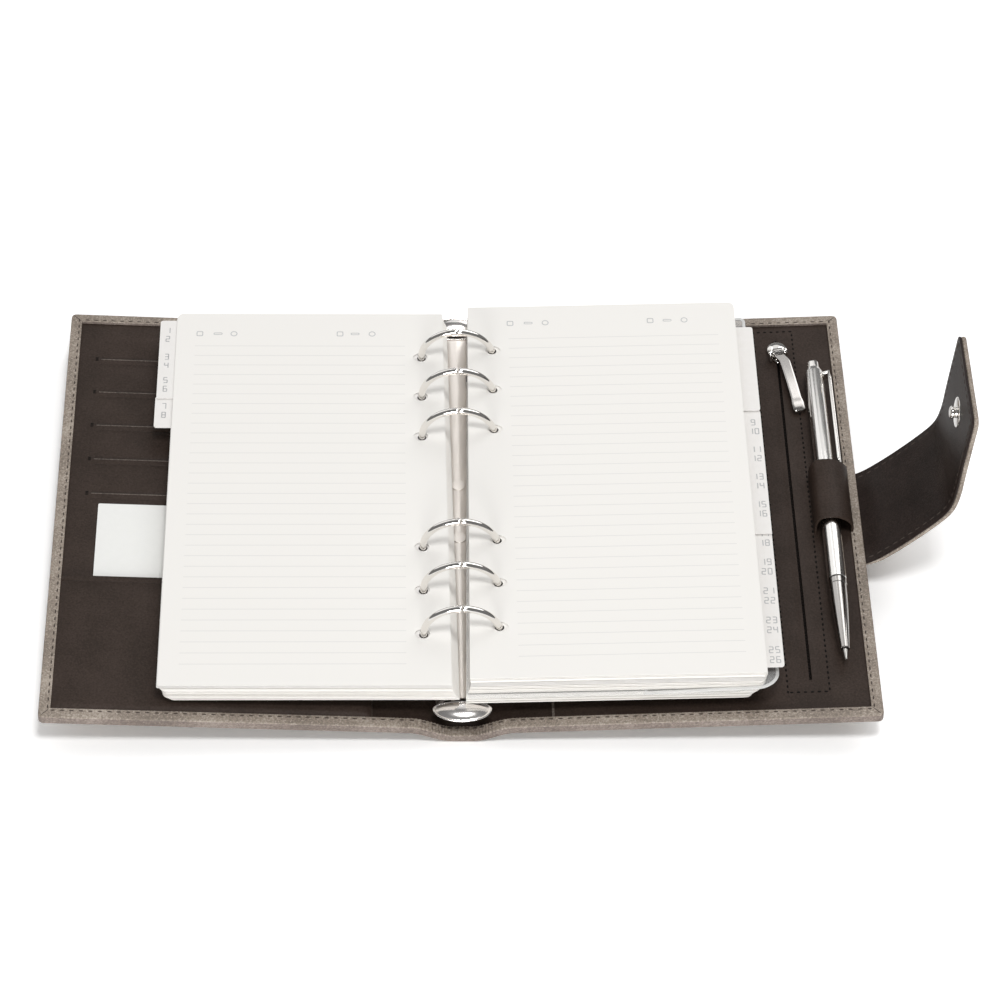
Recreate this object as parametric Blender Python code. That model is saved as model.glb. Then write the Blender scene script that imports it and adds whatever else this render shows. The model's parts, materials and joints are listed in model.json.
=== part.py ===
"""Six-ring leather planner, lying open, as separate solids on their joint axes.

Sizes are millimetres.  X runs across the open book, Y runs away from the
reader along the spine, Z is up.  The origin is the middle of the spine where
its outer leather rests on the table.
"""
from math import asin, cos, degrees, pi, radians, sin, sqrt, tan

import bmesh
import bpy
from mathutils import Matrix, Vector

MM = 0.001

# Edges sharper than these angles stay crisp, in degrees
SMOOTH_FLAT = 30.0
SMOOTH_TURNED = 40.0
SMOOTH_WIRE = 50.0

# Clearances
FIT = 0.3              # between pieces that touch on the real object
LAYER = 0.25           # between glued or sewn layers
RUN = 0.45             # round a piece that slides or turns
CUT = 1.0              # how far a cutter runs past the face it opens

# Leather case
CASE_LENGTH = 184.4    # along the spine
COVER_REACH = 121.5    # from the hinge line to the fore edge of one cover
CORNER_R = 2.5
COVER_TILT = radians(2.8)
HINGE_X = 18.0
HINGE_GAP = 0.35
LEATHER = 0.9
BOARD = 0.6
LINING = 0.6
BAND = 0.7             # turned-over edge, pared thinner than the leather
BAND_WIDTH = 3.9
HINGE_STRIP = 12.7     # soft lining between the hinge line and the pocket panel
STRIP_LAP = 0.7        # panel over the soft strip
BAND_START = 2.5       # the band stops short of the hinge line
BOARD_MARGIN = 5.0
ANCHOR_ROOM = 16.0     # the boards stop here so that the strap can be sewn in

# Spine
SPINE_FLAT = 8.5
SPINE_RISE = 4.5
SPINE_BOARD = 1.0
SPINE_STEPS = 8

# Ring mechanism
RING_GROUP_GAP = 50.8
RING_R = 12.7
WIRE = 2.4
WIRE_SIDES = 8
RING_STEPS = 11
RING_CENTRE_Z = 21.8
RING_TIP_GAP = 0.4
RING_FOOT_X = 5.0
RING_SLOT_SWING = 0.8  # extra slot length on the side a half ring swings to
RAIL_WIDTH = 17.2
RAIL_HEIGHT = 7.5
RAIL_SHEET = 0.8
RAIL_SKIRT = 1.35
RAIL_END_GAP = 10.2    # rail's end to the end of the case
RAIL_STEPS = 14
PLATE = 0.8
PLATE_LIFT = 3.05      # hinge plates above the rail's foot
PLATE_END_GAP = 10.0   # plate's end to the rail's end
RING_END_GAP = 8.6     # outer rings to the plate's end
PLATE_REACH = 6.7      # from the middle of the rail to the plate's pivot edge
RIVET_Y = 12.0
RIVET_D = 3.0
RIVET_HEAD_D = 5.2
RIVET_HEAD = 0.9
LEVER_PIN_D = 2.0
LEVER_PIN_INSET = 5.0  # from the rail's end
LEVER_PIN_LIFT = 2.95
LEVER_NECK = 6.4
LEVER_BOSS = 4.0
LEVER_LIP = 19.8
LEVER_LIP_LENGTH = 8.2
LEVER_SHEET = 1.5
LEVER_LIFT = 7.3       # lip above the rail's foot
LEVER_END_MARGIN = 0.6  # lip inside the end of the case
LEVER_DISH = 1.6       # how far the lip climbs towards its free edge

# Paper
PAGE_WIDTH = 95.0
PAGE_END_GAP = 7.2     # page's end to the end of the case
PAGE_CORNER = 3.0
TAB_REACH = 6.0
TAB_CORNER = 2.0
SHEET = 0.25
DIVIDER = 0.3
HOLE_RADIAL = 7.6      # punched slots, long way across the page
HOLE_WIDTH = 5.2
HOLE_SIDES = 12
HOLE_RUN_R = 13.1      # middle of the slots from the ring centre
HOLE_MARGIN = 7.8      # slot middle to the page's inner edge
LEFT_TOP = 21.4
LEFT_BOTTOM = 13.3
RIGHT_TOP = 24.7       # above the spine's middle line
RIGHT_BOTTOM = 11.4
RIGHT_TILT = radians(1.84)
STACK_FOOT = 3.3       # inner edge of the lowest sheet from the middle line
PAGE_SHIFT = 1.0       # page axes beside and above the ring centre
LEAF_AXIS_RISE = 1.2
UPPER_BLOCK = 2.4
MIDDLE_BLOCK = 3.4
POUCH_OVERHANG = 4.0
LEFT_TABS = ((3.0, 37.5), (41.0, 13.5))  # start from the page's far end, length
CONTACT_TAB = (10.0, 40.0)
INDEX_START = 51.0
INDEX_COUNT = 2
INDEX_MARGIN = 4.5     # last tab to the page's near end

# Front cover pockets
SLIT_DROP = 21.4       # first slit from the far end of the case
SLIT_PITCH = 16.0
SLIT_COUNT = 5
SLIT_FROM_BAND = 6.9   # slits' outer ends inside the turned-over edge
SLIT_LENGTH = 92.0
SLIT_WIDTH = 0.8
POCKET_DEPTH = 60.7    # pocket's mouth from the near end of the case
POCKET_SEAM = 2.0
CARD_WIDTH = 55.0
CARD_LENGTH = 85.0
CARD = 0.25
CARD_FROM_BAND = 10.7  # card's outer edge inside the turned-over edge
CARD_CLEAR = 2.7       # card's foot above the pocket's seam

# Zip pocket
ZIP_FROM_PEN = 12.0    # zip's middle inside the pen's line
ZIP_FAR_GAP = 10.2     # zip's ends from the ends of the case
ZIP_NEAR_GAP = 16.2
ZIP_SLOT = 2.4
ZIP_TEETH = 1.8
ZIP_TOOTH_PITCH = 4.0
SLIDER_DROP = 7.5      # slider's middle from the zip's far end
SLIDER_WIDTH = 9.6
SLIDER_LENGTH = 10.4
SLIDER_HEIGHT = 1.5
BRIDGE_PIN = 1.2
BRIDGE_POST = 1.4
PULL_LENGTH = 28.0
PULL_WIDTH = 3.8
PULL_FLARE = 4.6
PULL_SHEET = 0.9
PULL_EYE_WALL = 0.55
PULL_YAW = radians(9.5)

# Pen and its loop
PEN_FROM_BAND = 7.1    # pen's middle inside the turned-over edge
PEN_D = 6.6
PEN_BORE = 4.4
PEN_DROP = 30.7        # barrel's top from the far end of the case
PEN_BARREL = 98.5
PEN_NOSE_LENGTH = 29.5
PEN_NOSE_D = 3.4
PEN_NOSE_COLLAR = 3.0  # straight band above the taper
PEN_SHOULDER = 2.0
PEN_SIDES = 20
REFILL_D = 2.0
REFILL_POINT_D = 0.8
REFILL_DROP = 21.5     # refill's head below the barrel's top
REFILL_POINT = 4.5     # point beyond the nose
BUTTON_D = 3.4
BUTTON_RISE = 0.3         # left standing when the button is pressed home
BUTTON_DEPTH = 9.0
BUTTON_TRAVEL = 3.0
CLIP_WIDTH = 2.8
CLIP_SLOT = 1.1        # the clip is a narrow frame round this slot
CLIP_SHEET = 0.8
CLIP_DROP = 3.0        # clip's root below the barrel's top
CLIP_LENGTH = 45.0
CLIP_LIFT = 1.9        # clip's inner face from the barrel
CLIP_FOOT = 3.0
CLIP_ANGLE = radians(18.0)
LOOP_DROP = 46.8       # loop's far edge below the barrel's top
LOOP_LENGTH = 26.8
LOOP_LEATHER = 0.9
LOOP_FLANGE = 2.0

# Strap and press stud
STRAP_WIDTH = 41.2
STRAP_Y = -5.3
STRAP_LEATHER = 1.2
STRAP_LINING = 0.75
STRAP_ROOT_OUT = 2.2   # root fold beyond the fore edge
STRAP_ROOT_W = 2.2     # root fold above the cover's outer face
STRAP_BASE = 40.0
STRAP_TIP = 41.5
STRAP_BASE_REST = radians(51.0)
STRAP_TIP_REST = radians(87.4)
STRAP_CORNER = 3.0
STRAP_FOLD_GAP = 0.6
STUD_FROM_FOLD = 23.5
STUD_FLANGE_D = 13.0
STUD_FLANGE = 0.6
STUD_D = 4.4
STUD_NECK_D = 3.4
STUD_HEIGHT = 2.6
SOCKET_D = 13.0
SOCKET_FLANGE = 0.8
SOCKET_BARREL_D = 8.0
SNAP_SIDES = 20
CAP_D = 12.0
CAP_HEIGHT = 1.3

# Worked-out levels and places
HALF = CASE_LENGTH / 2
RAIL_LENGTH = CASE_LENGTH - 2 * RAIL_END_GAP
PLATE_LENGTH = RAIL_LENGTH - 2 * PLATE_END_GAP
RING_PITCH = (PLATE_LENGTH / 2 - RING_END_GAP - RING_GROUP_GAP / 2) / 2
PAGE_LENGTH = CASE_LENGTH - 2 * PAGE_END_GAP
PAGE_HALF = PAGE_LENGTH / 2
SLIT_FAR = HALF - SLIT_DROP
POCKET_TOP = -HALF + POCKET_DEPTH
POCKET_FLOOR = -HALF + BAND_WIDTH + FIT
CARD_TOP = POCKET_FLOOR + POCKET_SEAM + CARD_CLEAR + CARD_LENGTH
ZIP_FAR = HALF - ZIP_FAR_GAP
ZIP_NEAR = -HALF + ZIP_NEAR_GAP
SLIDER_Y = ZIP_FAR - SLIDER_DROP
PEN_TOP = HALF - PEN_DROP
PEN_JOINT = PEN_TOP - PEN_BARREL
PEN_NOSE = PEN_JOINT - PEN_NOSE_LENGTH
REFILL_TOP = PEN_TOP - REFILL_DROP
REFILL_END = PEN_NOSE - REFILL_POINT
CLIP_TOP = PEN_TOP - CLIP_DROP
CLIP_END = CLIP_TOP - CLIP_LENGTH
LOOP_FAR = PEN_TOP - LOOP_DROP
LOOP_NEAR = LOOP_FAR - LOOP_LENGTH
BOARD_W = LEATHER + LAYER
PANEL_W = BOARD_W + BOARD + LAYER
PANEL_TOP = PANEL_W + LINING
BAND_W = PANEL_TOP + LAYER
COVER_THICK = BAND_W + BAND
AXIS_W = PANEL_W                      # fold line level with the soft strip's top
HINGE_Z = SPINE_RISE + AXIS_W
SPINE_LINING_Z = LEATHER + LAYER + SPINE_BOARD + LAYER
RAIL_Z = SPINE_LINING_Z + LINING + LAYER
RAIL_TOP = RAIL_Z + RAIL_HEIGHT
PLATE_Z = RAIL_Z + PLATE_LIFT
PANEL_START = HINGE_STRIP - STRIP_LAP
BOARD_START = HINGE_STRIP + FIT
BAND_INNER = COVER_REACH - BAND_WIDTH
SLIT_START = BAND_INNER - SLIT_FROM_BAND
CARD_EDGE = BAND_INNER - CARD_FROM_BAND
PEN_LINE = BAND_INNER - PEN_FROM_BAND
ZIP_LINE = PEN_LINE - ZIP_FROM_PEN
RING_YS = [s * (RING_GROUP_GAP / 2 + i * RING_PITCH) for s in (1, -1) for i in range(3)]
POCKET_W = PANEL_TOP + LAYER
CARD_W = POCKET_W
POCKET_ROOF_W = CARD_W + CARD + LAYER
SLIDER_W = PANEL_TOP + FIT
PULL_EYE_R = BRIDGE_PIN / 2 + FIT + PULL_EYE_WALL
BRIDGE_LIFT = PULL_EYE_R + FIT         # pull pin above the slider's plate
PULL_AXIS_W = SLIDER_W + SLIDER_HEIGHT + BRIDGE_LIFT
PULL_AXIS_Y = SLIDER_Y - SLIDER_LENGTH / 4
PEN_W = COVER_THICK + FIT + PEN_D / 2  # the pen slides out over the far band
SNAP_U = COVER_REACH + STRAP_ROOT_OUT - STUD_FROM_FOLD
STRAP_THICK = STRAP_LINING + LAYER + STRAP_LEATHER


def finish(name, colour, roughness, metallic=0.0, alpha=1.0):
    """A plain Principled material."""
    material = bpy.data.materials.new(name)
    material.use_nodes = True
    shader = material.node_tree.nodes["Principled BSDF"]
    shader.inputs["Base Color"].default_value = (*colour, 1.0)
    shader.inputs["Roughness"].default_value = roughness
    shader.inputs["Metallic"].default_value = metallic
    shader.inputs["Alpha"].default_value = alpha
    return material


def new_object(name, bm, material=None, parent=None, smooth=SMOOTH_FLAT):
    """Turn a bmesh in millimetres into an object; parent gives its local frame."""
    bmesh.ops.scale(bm, vec=(MM, MM, MM), verts=bm.verts)
    bmesh.ops.recalc_face_normals(bm, faces=bm.faces)
    mesh = bpy.data.meshes.new(name)
    bm.to_mesh(mesh)
    bm.free()
    mesh.shade_smooth()
    mesh.set_sharp_from_angle(angle=radians(smooth))
    obj = bpy.data.objects.new(name, mesh)
    bpy.context.scene.collection.objects.link(obj)
    if material:
        mesh.materials.append(material)
    if parent:
        obj.parent = parent
    return obj


def axis_empty(name, place, turn_y=0.0, parent=None):
    """An empty on a joint axis, given in its parent's frame."""
    empty = bpy.data.objects.new(name, None)
    bpy.context.scene.collection.objects.link(empty)
    empty.location = Vector(place) * MM
    empty.rotation_euler = (0.0, turn_y, 0.0)
    empty.parent = parent
    return empty


def carve(obj, cutters, operation="DIFFERENCE"):
    """Apply a Boolean with each bmesh cutter, then drop the cutters."""
    helpers = []
    for index, cutter in enumerate(cutters):
        helper = new_object(f"{obj.name}_cutter_{index}", cutter, parent=obj.parent)
        helper.hide_render = True
        helper.display_type = "WIRE"
        modifier = obj.modifiers.new("cut", "BOOLEAN")
        modifier.operation = operation
        modifier.object = helper
        helpers.append(helper)
    bpy.context.view_layer.update()
    graph = bpy.context.evaluated_depsgraph_get()
    mesh = bpy.data.meshes.new_from_object(obj.evaluated_get(graph))
    obj.modifiers.clear()
    obj.data = mesh
    for helper in helpers:
        bpy.data.objects.remove(helper)
    return obj


def block(x, y, z):
    """A box between pairs of limits."""
    bm = bmesh.new()
    bmesh.ops.create_cube(bm, size=1.0)
    size = (x[1] - x[0], y[1] - y[0], z[1] - z[0])
    middle = ((x[0] + x[1]) / 2, (y[0] + y[1]) / 2, (z[0] + z[1]) / 2)
    bmesh.ops.scale(bm, vec=size, verts=bm.verts)
    bmesh.ops.translate(bm, vec=middle, verts=bm.verts)
    return bm


def prism(points, direction):
    """A flat outline swept along a straight direction."""
    bm = bmesh.new()
    face = bm.faces.new([bm.verts.new(p) for p in points])
    swept = bmesh.ops.extrude_face_region(bm, geom=[face])
    verts = [v for v in swept["geom"] if isinstance(v, bmesh.types.BMVert)]
    bmesh.ops.translate(bm, vec=direction, verts=verts)
    return bm


def section_y(points, y0, y1):
    """An X, Z outline swept along the spine."""
    return prism([(x, y0, z) for x, z in points], (0, y1 - y0, 0))


def plate_z(points, z0, z1):
    """An X, Y outline with a thickness in Z."""
    return prism([(x, y, z0) for x, y in points], (0, 0, z1 - z0))


def rounded(corners, steps=3):
    """Replace each (x, y, radius) corner of an outline by an arc."""
    outline = []
    count = len(corners)
    for i, (x, y, r) in enumerate(corners):
        here = Vector((x, y))
        if r <= 0:
            outline.append((x, y))
            continue
        back = (Vector(corners[i - 1][:2]) - here).normalized()
        ahead = (Vector(corners[(i + 1) % count][:2]) - here).normalized()
        half = back.angle(ahead) / 2
        start = here + back * (r / tan(half))
        end = here + ahead * (r / tan(half))
        centre = here + (back + ahead).normalized() * (r / sin(half))
        for k in range(steps + 1):
            ray = (start - centre).lerp(end - centre, k / steps).normalized()
            outline.append(tuple(centre + ray * r))
    return outline


def turned(profile, sides):
    """Spin (radius, y) points about the Y axis; both ends close on the axis."""
    bm = bmesh.new()
    verts = [bm.verts.new((max(r, 0.0), y, 0)) for r, y in profile]
    edges = [bm.edges.new(pair) for pair in zip(verts, verts[1:])]
    bmesh.ops.spin(bm, geom=verts + edges, cent=(0, 0, 0), axis=(0, 1, 0),
                   angle=2 * pi, steps=sides, use_merge=True)
    bmesh.ops.remove_doubles(bm, verts=bm.verts, dist=0.0001)
    return bm


def rod_x(radius, x0, x1, y, z, sides=12):
    """A round rod along X."""
    bm = turned([(0, x0), (radius, x0), (radius, x1), (0, x1)], sides)
    bmesh.ops.rotate(bm, cent=(0, 0, 0), matrix=Matrix.Rotation(-pi / 2, 3, "Z"), verts=bm.verts)
    bmesh.ops.translate(bm, vec=(0, y, z), verts=bm.verts)
    return bm


def rod_z(profile, x, y, sides):
    """A (radius, z) profile turned about an upright axis."""
    bm = turned(profile, sides)
    bmesh.ops.rotate(bm, cent=(0, 0, 0), matrix=Matrix.Rotation(pi / 2, 3, "X"), verts=bm.verts)
    bmesh.ops.translate(bm, vec=(x, y, 0), verts=bm.verts)
    return bm


def ring_sweep(run_r, half_radial, half_y, sides, start, end, steps, y):
    """An oval swept round the ring centre; angles count from +Z towards +X."""
    bm = bmesh.new()
    bmesh.ops.create_circle(bm, segments=sides, radius=1.0)
    bmesh.ops.scale(bm, vec=(half_radial, half_y, 1), verts=bm.verts)
    stand = Matrix.Translation((0, y, RING_CENTRE_Z)) @ Matrix.Rotation(start - pi / 2, 4, "Y")
    bmesh.ops.translate(bm, vec=(run_r, 0, 0), verts=bm.verts)
    bmesh.ops.transform(bm, matrix=stand, verts=bm.verts)
    geom = bm.verts[:] + bm.edges[:]
    bmesh.ops.spin(bm, geom=geom, cent=(0, y, RING_CENTRE_Z), axis=(0, 1, 0),
                   angle=end - start, steps=steps)
    bmesh.ops.holes_fill(bm, edges=[e for e in bm.edges if e.is_boundary])
    return bm


def smooth_rise(x):
    """0 on the flat of the spine, 1 at the hinge line."""
    t = (abs(x) - SPINE_FLAT) / (HINGE_X - SPINE_FLAT)
    t = min(max(t, 0.0), 1.0)
    return t * t * (3 - 2 * t)


def spine_leather_z(x):
    return SPINE_RISE * smooth_rise(x)


def spine_lining_z(x):
    edge = SPINE_RISE + BOARD_W
    return SPINE_LINING_Z + (edge - SPINE_LINING_Z) * smooth_rise(x)


def spine_stations(reach):
    """X stations across the spine, closer together on the curved flanks."""
    flank = [SPINE_FLAT + (reach - SPINE_FLAT) * i / SPINE_STEPS for i in range(SPINE_STEPS + 1)]
    return [-x for x in reversed(flank)] + flank


def spine_strip(low, high, reach, y0, y1):
    """A strip of the spine between two height functions."""
    xs = spine_stations(reach)
    outline = [(x, low(x)) for x in xs] + [(x, high(x)) for x in reversed(xs)]
    return section_y(outline, y0, y1)


def clear_scene():
    for obj in list(bpy.data.objects):
        bpy.data.objects.remove(obj)


def make_finishes():
    return {
        "leather": finish("taupe_leather", (0.36, 0.29, 0.24), 0.55),
        "lining": finish("brown_lining", (0.065, 0.04, 0.032), 0.6),
        "board": finish("stiffener_board", (0.4, 0.33, 0.25), 0.9),
        "chrome": finish("chrome", (0.75, 0.75, 0.76), 0.12, 1.0),
        "steel": finish("plate_steel", (0.55, 0.55, 0.56), 0.35, 1.0),
        "paper": finish("paper", (0.86, 0.86, 0.84), 0.8),
        "index": finish("index_card", (0.82, 0.82, 0.81), 0.7),
        "clear": finish("clear_plastic", (0.8, 0.82, 0.84), 0.1, 0.0, 0.4),
        "card": finish("white_card", (0.9, 0.9, 0.9), 0.6),
        "zip": finish("zip_tape", (0.02, 0.016, 0.015), 0.7),
        "pen": finish("pen_silver", (0.62, 0.58, 0.55), 0.2, 1.0),
    }


def build_spine(m):
    """Outer leather, stiffener and lining under the rings."""
    reach = HINGE_X - HINGE_GAP

    def leather_top(x):
        return spine_leather_z(x) + LEATHER

    def band_low(x):
        return spine_lining_z(x) + LINING + LAYER

    def band_top(x):
        return band_low(x) + BAND

    def sky(x):
        return band_top(x) + BAND

    leather = new_object("spine_leather", spine_strip(spine_leather_z, band_top, reach, -HALF, HALF),
                         m["leather"])
    inner = HALF - LEATHER
    opening = HALF - BAND_WIDTH
    beyond = reach + FIT
    cuts = [spine_strip(leather_top, band_low, beyond, -inner, inner),
            spine_strip(leather_top, sky, beyond, -opening, opening)]
    for side in (-1, 1):
        low = spine_leather_z(HINGE_X - BAND_START) + LEATHER
        near, far = sorted((side * (HINGE_X - BAND_START), side * (HINGE_X + BAND_START)))
        top = sky(HINGE_X) + FIT
        slope = [(near, low), (far, low), (far, top), (near, top)]
        edge_z = SPINE_RISE + LEATHER
        slope[1 if side > 0 else 0] = (side * (HINGE_X + BAND_START), edge_z)
        cuts.append(section_y(slope, -HALF - FIT, HALF + FIT))
    carve(leather, cuts)

    board = new_object("spine_board",
                       block((-SPINE_FLAT + FIT, SPINE_FLAT - FIT),
                             (-HALF + BOARD_MARGIN, HALF - BOARD_MARGIN),
                             (LEATHER + LAYER, LEATHER + LAYER + SPINE_BOARD)), m["board"])
    lining = new_object("spine_lining",
                        spine_strip(spine_lining_z, lambda x: spine_lining_z(x) + LINING, reach,
                                    -inner + FIT, inner - FIT), m["lining"])
    for piece in (board, lining):
        carve(piece, [rivet_hole(s) for s in (-1, 1)])


def rivet_hole(side):
    radius = RIVET_D / 2 + FIT
    return rod_z([(0, 0), (radius, 0), (radius, RAIL_TOP + CUT), (0, RAIL_TOP + CUT)],
                 0, side * RIVET_Y, 12)


def rail_arch(half_width, rise):
    """Half an ellipse from the right skirt over the top to the left skirt."""
    points = []
    for i in range(RAIL_STEPS + 1):
        a = pi * i / RAIL_STEPS
        points.append((half_width * cos(a), RAIL_Z + RAIL_SKIRT + rise * sin(a)))
    return points


def build_rail(m):
    """Pressed rail with ring slots, rivet holes and lever pin holes."""
    half = RAIL_WIDTH / 2
    rise = RAIL_HEIGHT - RAIL_SKIRT
    outer = rail_arch(half, rise)
    inner = rail_arch(half - RAIL_SHEET, rise - RAIL_SHEET)
    outline = [(half, RAIL_Z)] + outer + [(-half, RAIL_Z), (-half + RAIL_SHEET, RAIL_Z)]
    outline += list(reversed(inner)) + [(half - RAIL_SHEET, RAIL_Z)]
    rail = new_object("ring_rail", section_y(outline, -RAIL_LENGTH / 2, RAIL_LENGTH / 2), m["chrome"])
    foot = WIRE / 2 + RUN
    cuts = []
    for y in RING_YS:
        for side in (-1, 1):
            xs = sorted((side * (RING_FOOT_X - foot), side * (RING_FOOT_X + foot + RING_SLOT_SWING)))
            cuts.append(block(xs, (y - foot, y + foot), (PLATE_Z, RAIL_TOP + CUT)))
    cuts += [rivet_hole(s) for s in (-1, 1)]
    cuts += [rod_x(LEVER_PIN_D / 2 + FIT, -half - CUT, half + CUT, s * lever_pin_y(), lever_pin_z())
             for s in (-1, 1)]
    carve(rail, cuts)
    shank_foot = LEATHER + LAYER
    for side, name in ((-1, "near"), (1, "far")):
        head = RAIL_TOP + FIT
        profile = [(0, shank_foot), (RIVET_D / 2, shank_foot), (RIVET_D / 2, head)]
        for i in range(4):
            a = pi / 2 * i / 3
            profile.append((RIVET_HEAD_D / 2 * cos(a), head + RIVET_HEAD * sin(a)))
        new_object(f"rail_rivet_{name}", rod_z(profile, 0, side * RIVET_Y, 12), m["chrome"])


def lever_pin_y():
    return RAIL_LENGTH / 2 - LEVER_PIN_INSET


def lever_pin_z():
    return RAIL_Z + LEVER_PIN_LIFT


def build_rings(m, empties):
    """Two toggle plates under the rail, each carrying six half rings."""
    tip = asin(RING_TIP_GAP / 2 / RING_R)
    foot = pi - asin(RING_FOOT_X / RING_R)
    plate_top = PLATE_Z + PLATE / 2
    for side, word in ((-1, "left"), (1, "right")):
        body = empties[f"{word}_rings"]
        xs = sorted((side * FIT, side * PLATE_REACH))
        plate = block(xs, (-PLATE_LENGTH / 2, PLATE_LENGTH / 2), (PLATE_Z - PLATE / 2, plate_top))
        plate = new_object(f"{word}_hinge_plate", world_in(plate, body), m["steel"], body)
        notch = RIVET_D / 2 + RUN + FIT
        cuts = [world_in(block((-notch, notch), (s * RIVET_Y - notch, s * RIVET_Y + notch),
                               (0, RAIL_TOP)), body) for s in (-1, 1)]
        carve(plate, cuts)
        for number, y in enumerate(RING_YS, start=1):
            wire = ring_sweep(RING_R, WIRE / 2, WIRE / 2, WIRE_SIDES, side * tip, side * foot,
                              RING_STEPS, y)
            stand_on_plate(wire, side, plate_top + FIT)
            new_object(f"{word}_ring_{number}", world_in(wire, body), m["chrome"], body, SMOOTH_WIRE)


def stand_on_plate(bm, side, floor):
    """Pull the lower end of a half ring straight down to its hinge plate."""
    end = max(bm.faces, key=lambda f: len(f.verts) * 1000 - f.calc_center_median().z)
    swept = bmesh.ops.extrude_face_region(bm, geom=[end])
    bmesh.ops.delete(bm, geom=[end], context="FACES_ONLY")
    verts = [v for v in swept["geom"] if isinstance(v, bmesh.types.BMVert)]
    middle_x = side * RING_FOOT_X
    spread = WIRE / 2 / max(abs(v.co.x - middle_x) for v in verts)
    for v in verts:
        v.co.x = middle_x + (v.co.x - middle_x) * min(spread, 1.0)
        v.co.z = floor


def world_in(bm, empty):
    """Move a bmesh written in the world into the frame of an unturned empty."""
    bmesh.ops.translate(bm, vec=-empty.location / MM, verts=bm.verts)
    return bm


def loft_along_y(stations):
    """Bridge flat eight-sided sections given as (y, half width, middle z, thickness)."""
    bm = bmesh.new()
    loops = []
    for y, half, z, thick in stations:
        soft = thick * 0.3
        outline = [(half, soft), (half - soft, thick / 2), (-half + soft, thick / 2), (-half, soft),
                   (-half, -soft), (-half + soft, -thick / 2), (half - soft, -thick / 2), (half, -soft)]
        verts = [bm.verts.new((x, y, z + dz)) for x, dz in outline]
        loops.append([bm.edges.new((verts[i - 1], verts[i])) for i in range(len(verts))])
    for first, second in zip(loops, loops[1:]):
        bmesh.ops.bridge_loops(bm, edges=first + second)
    bmesh.ops.holes_fill(bm, edges=[e for e in bm.edges if e.is_boundary])
    return bm


def build_levers(m, empties):
    """A thumb lever at each end of the rail, turning on its trunnions in the skirts."""
    pin_y = lever_pin_y()
    pin_z = lever_pin_z()
    lip_end = HALF - LEVER_END_MARGIN
    lip_start = lip_end - LEVER_LIP_LENGTH
    lip_z = RAIL_Z + LEVER_LIFT
    neck_z = pin_z + (lip_z - pin_z) * 0.35
    for side, word in ((-1, "near"), (1, "far")):
        body = empties[f"{word}_lever"]
        stations = [(pin_y - LEVER_BOSS / 2 - RUN, LEVER_NECK / 2, pin_z, LEVER_BOSS),
                    (pin_y + LEVER_BOSS / 2 - RUN, LEVER_NECK / 2, pin_z, LEVER_BOSS),
                    (RAIL_LENGTH / 2 - CUT, LEVER_NECK / 2, neck_z, LEVER_SHEET),
                    (lip_start, LEVER_NECK / 2 + FIT, lip_z - LEVER_DISH * 0.75, LEVER_SHEET)]
        for i in range(1, 6):
            t = i / 6
            half = LEVER_LIP / 2 * sqrt(sin(pi * (0.12 + 0.82 * t)))
            rise = LEVER_DISH * (t - 0.6)
            stations.append((lip_start + LEVER_LIP_LENGTH * t, half, lip_z + rise, LEVER_SHEET))
        stations.append((lip_end, LEVER_LIP / 5, lip_z + LEVER_DISH * 0.45, LEVER_SHEET * 0.6))
        lever = loft_along_y([(side * y, half, z, thick) for y, half, z, thick in stations])
        lever = new_object(f"{word}_lever", world_in(lever, body), m["chrome"], body, SMOOTH_TURNED)
        rail_half = RAIL_WIDTH / 2
        trunnion = rod_x(LEVER_PIN_D / 2, -rail_half, rail_half, side * pin_y, pin_z)
        carve(lever, [world_in(trunnion, body)], "UNION")


def cover_outline(start, end, half, radius):
    """A plate from the hinge side to the fore edge with two round outer corners."""
    return rounded([(start, -half, 0), (end, -half, radius), (end, half, radius), (start, half, 0)])


def on_cover(points, side):
    """Turn (distance from hinge, y) points into the cover's own X, Y."""
    return [(side * u, y) for u, y in points]


def cover_plate(points, side, w0, w1):
    """A plate on a cover between two heights above its outer face."""
    return plate_z(on_cover(points, side), w0 - AXIS_W, w1 - AXIS_W)


def cover_box(side, u, y, w):
    return cover_plate([(u[0], y[0]), (u[1], y[0]), (u[1], y[1]), (u[0], y[1])], side, *w)


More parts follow.
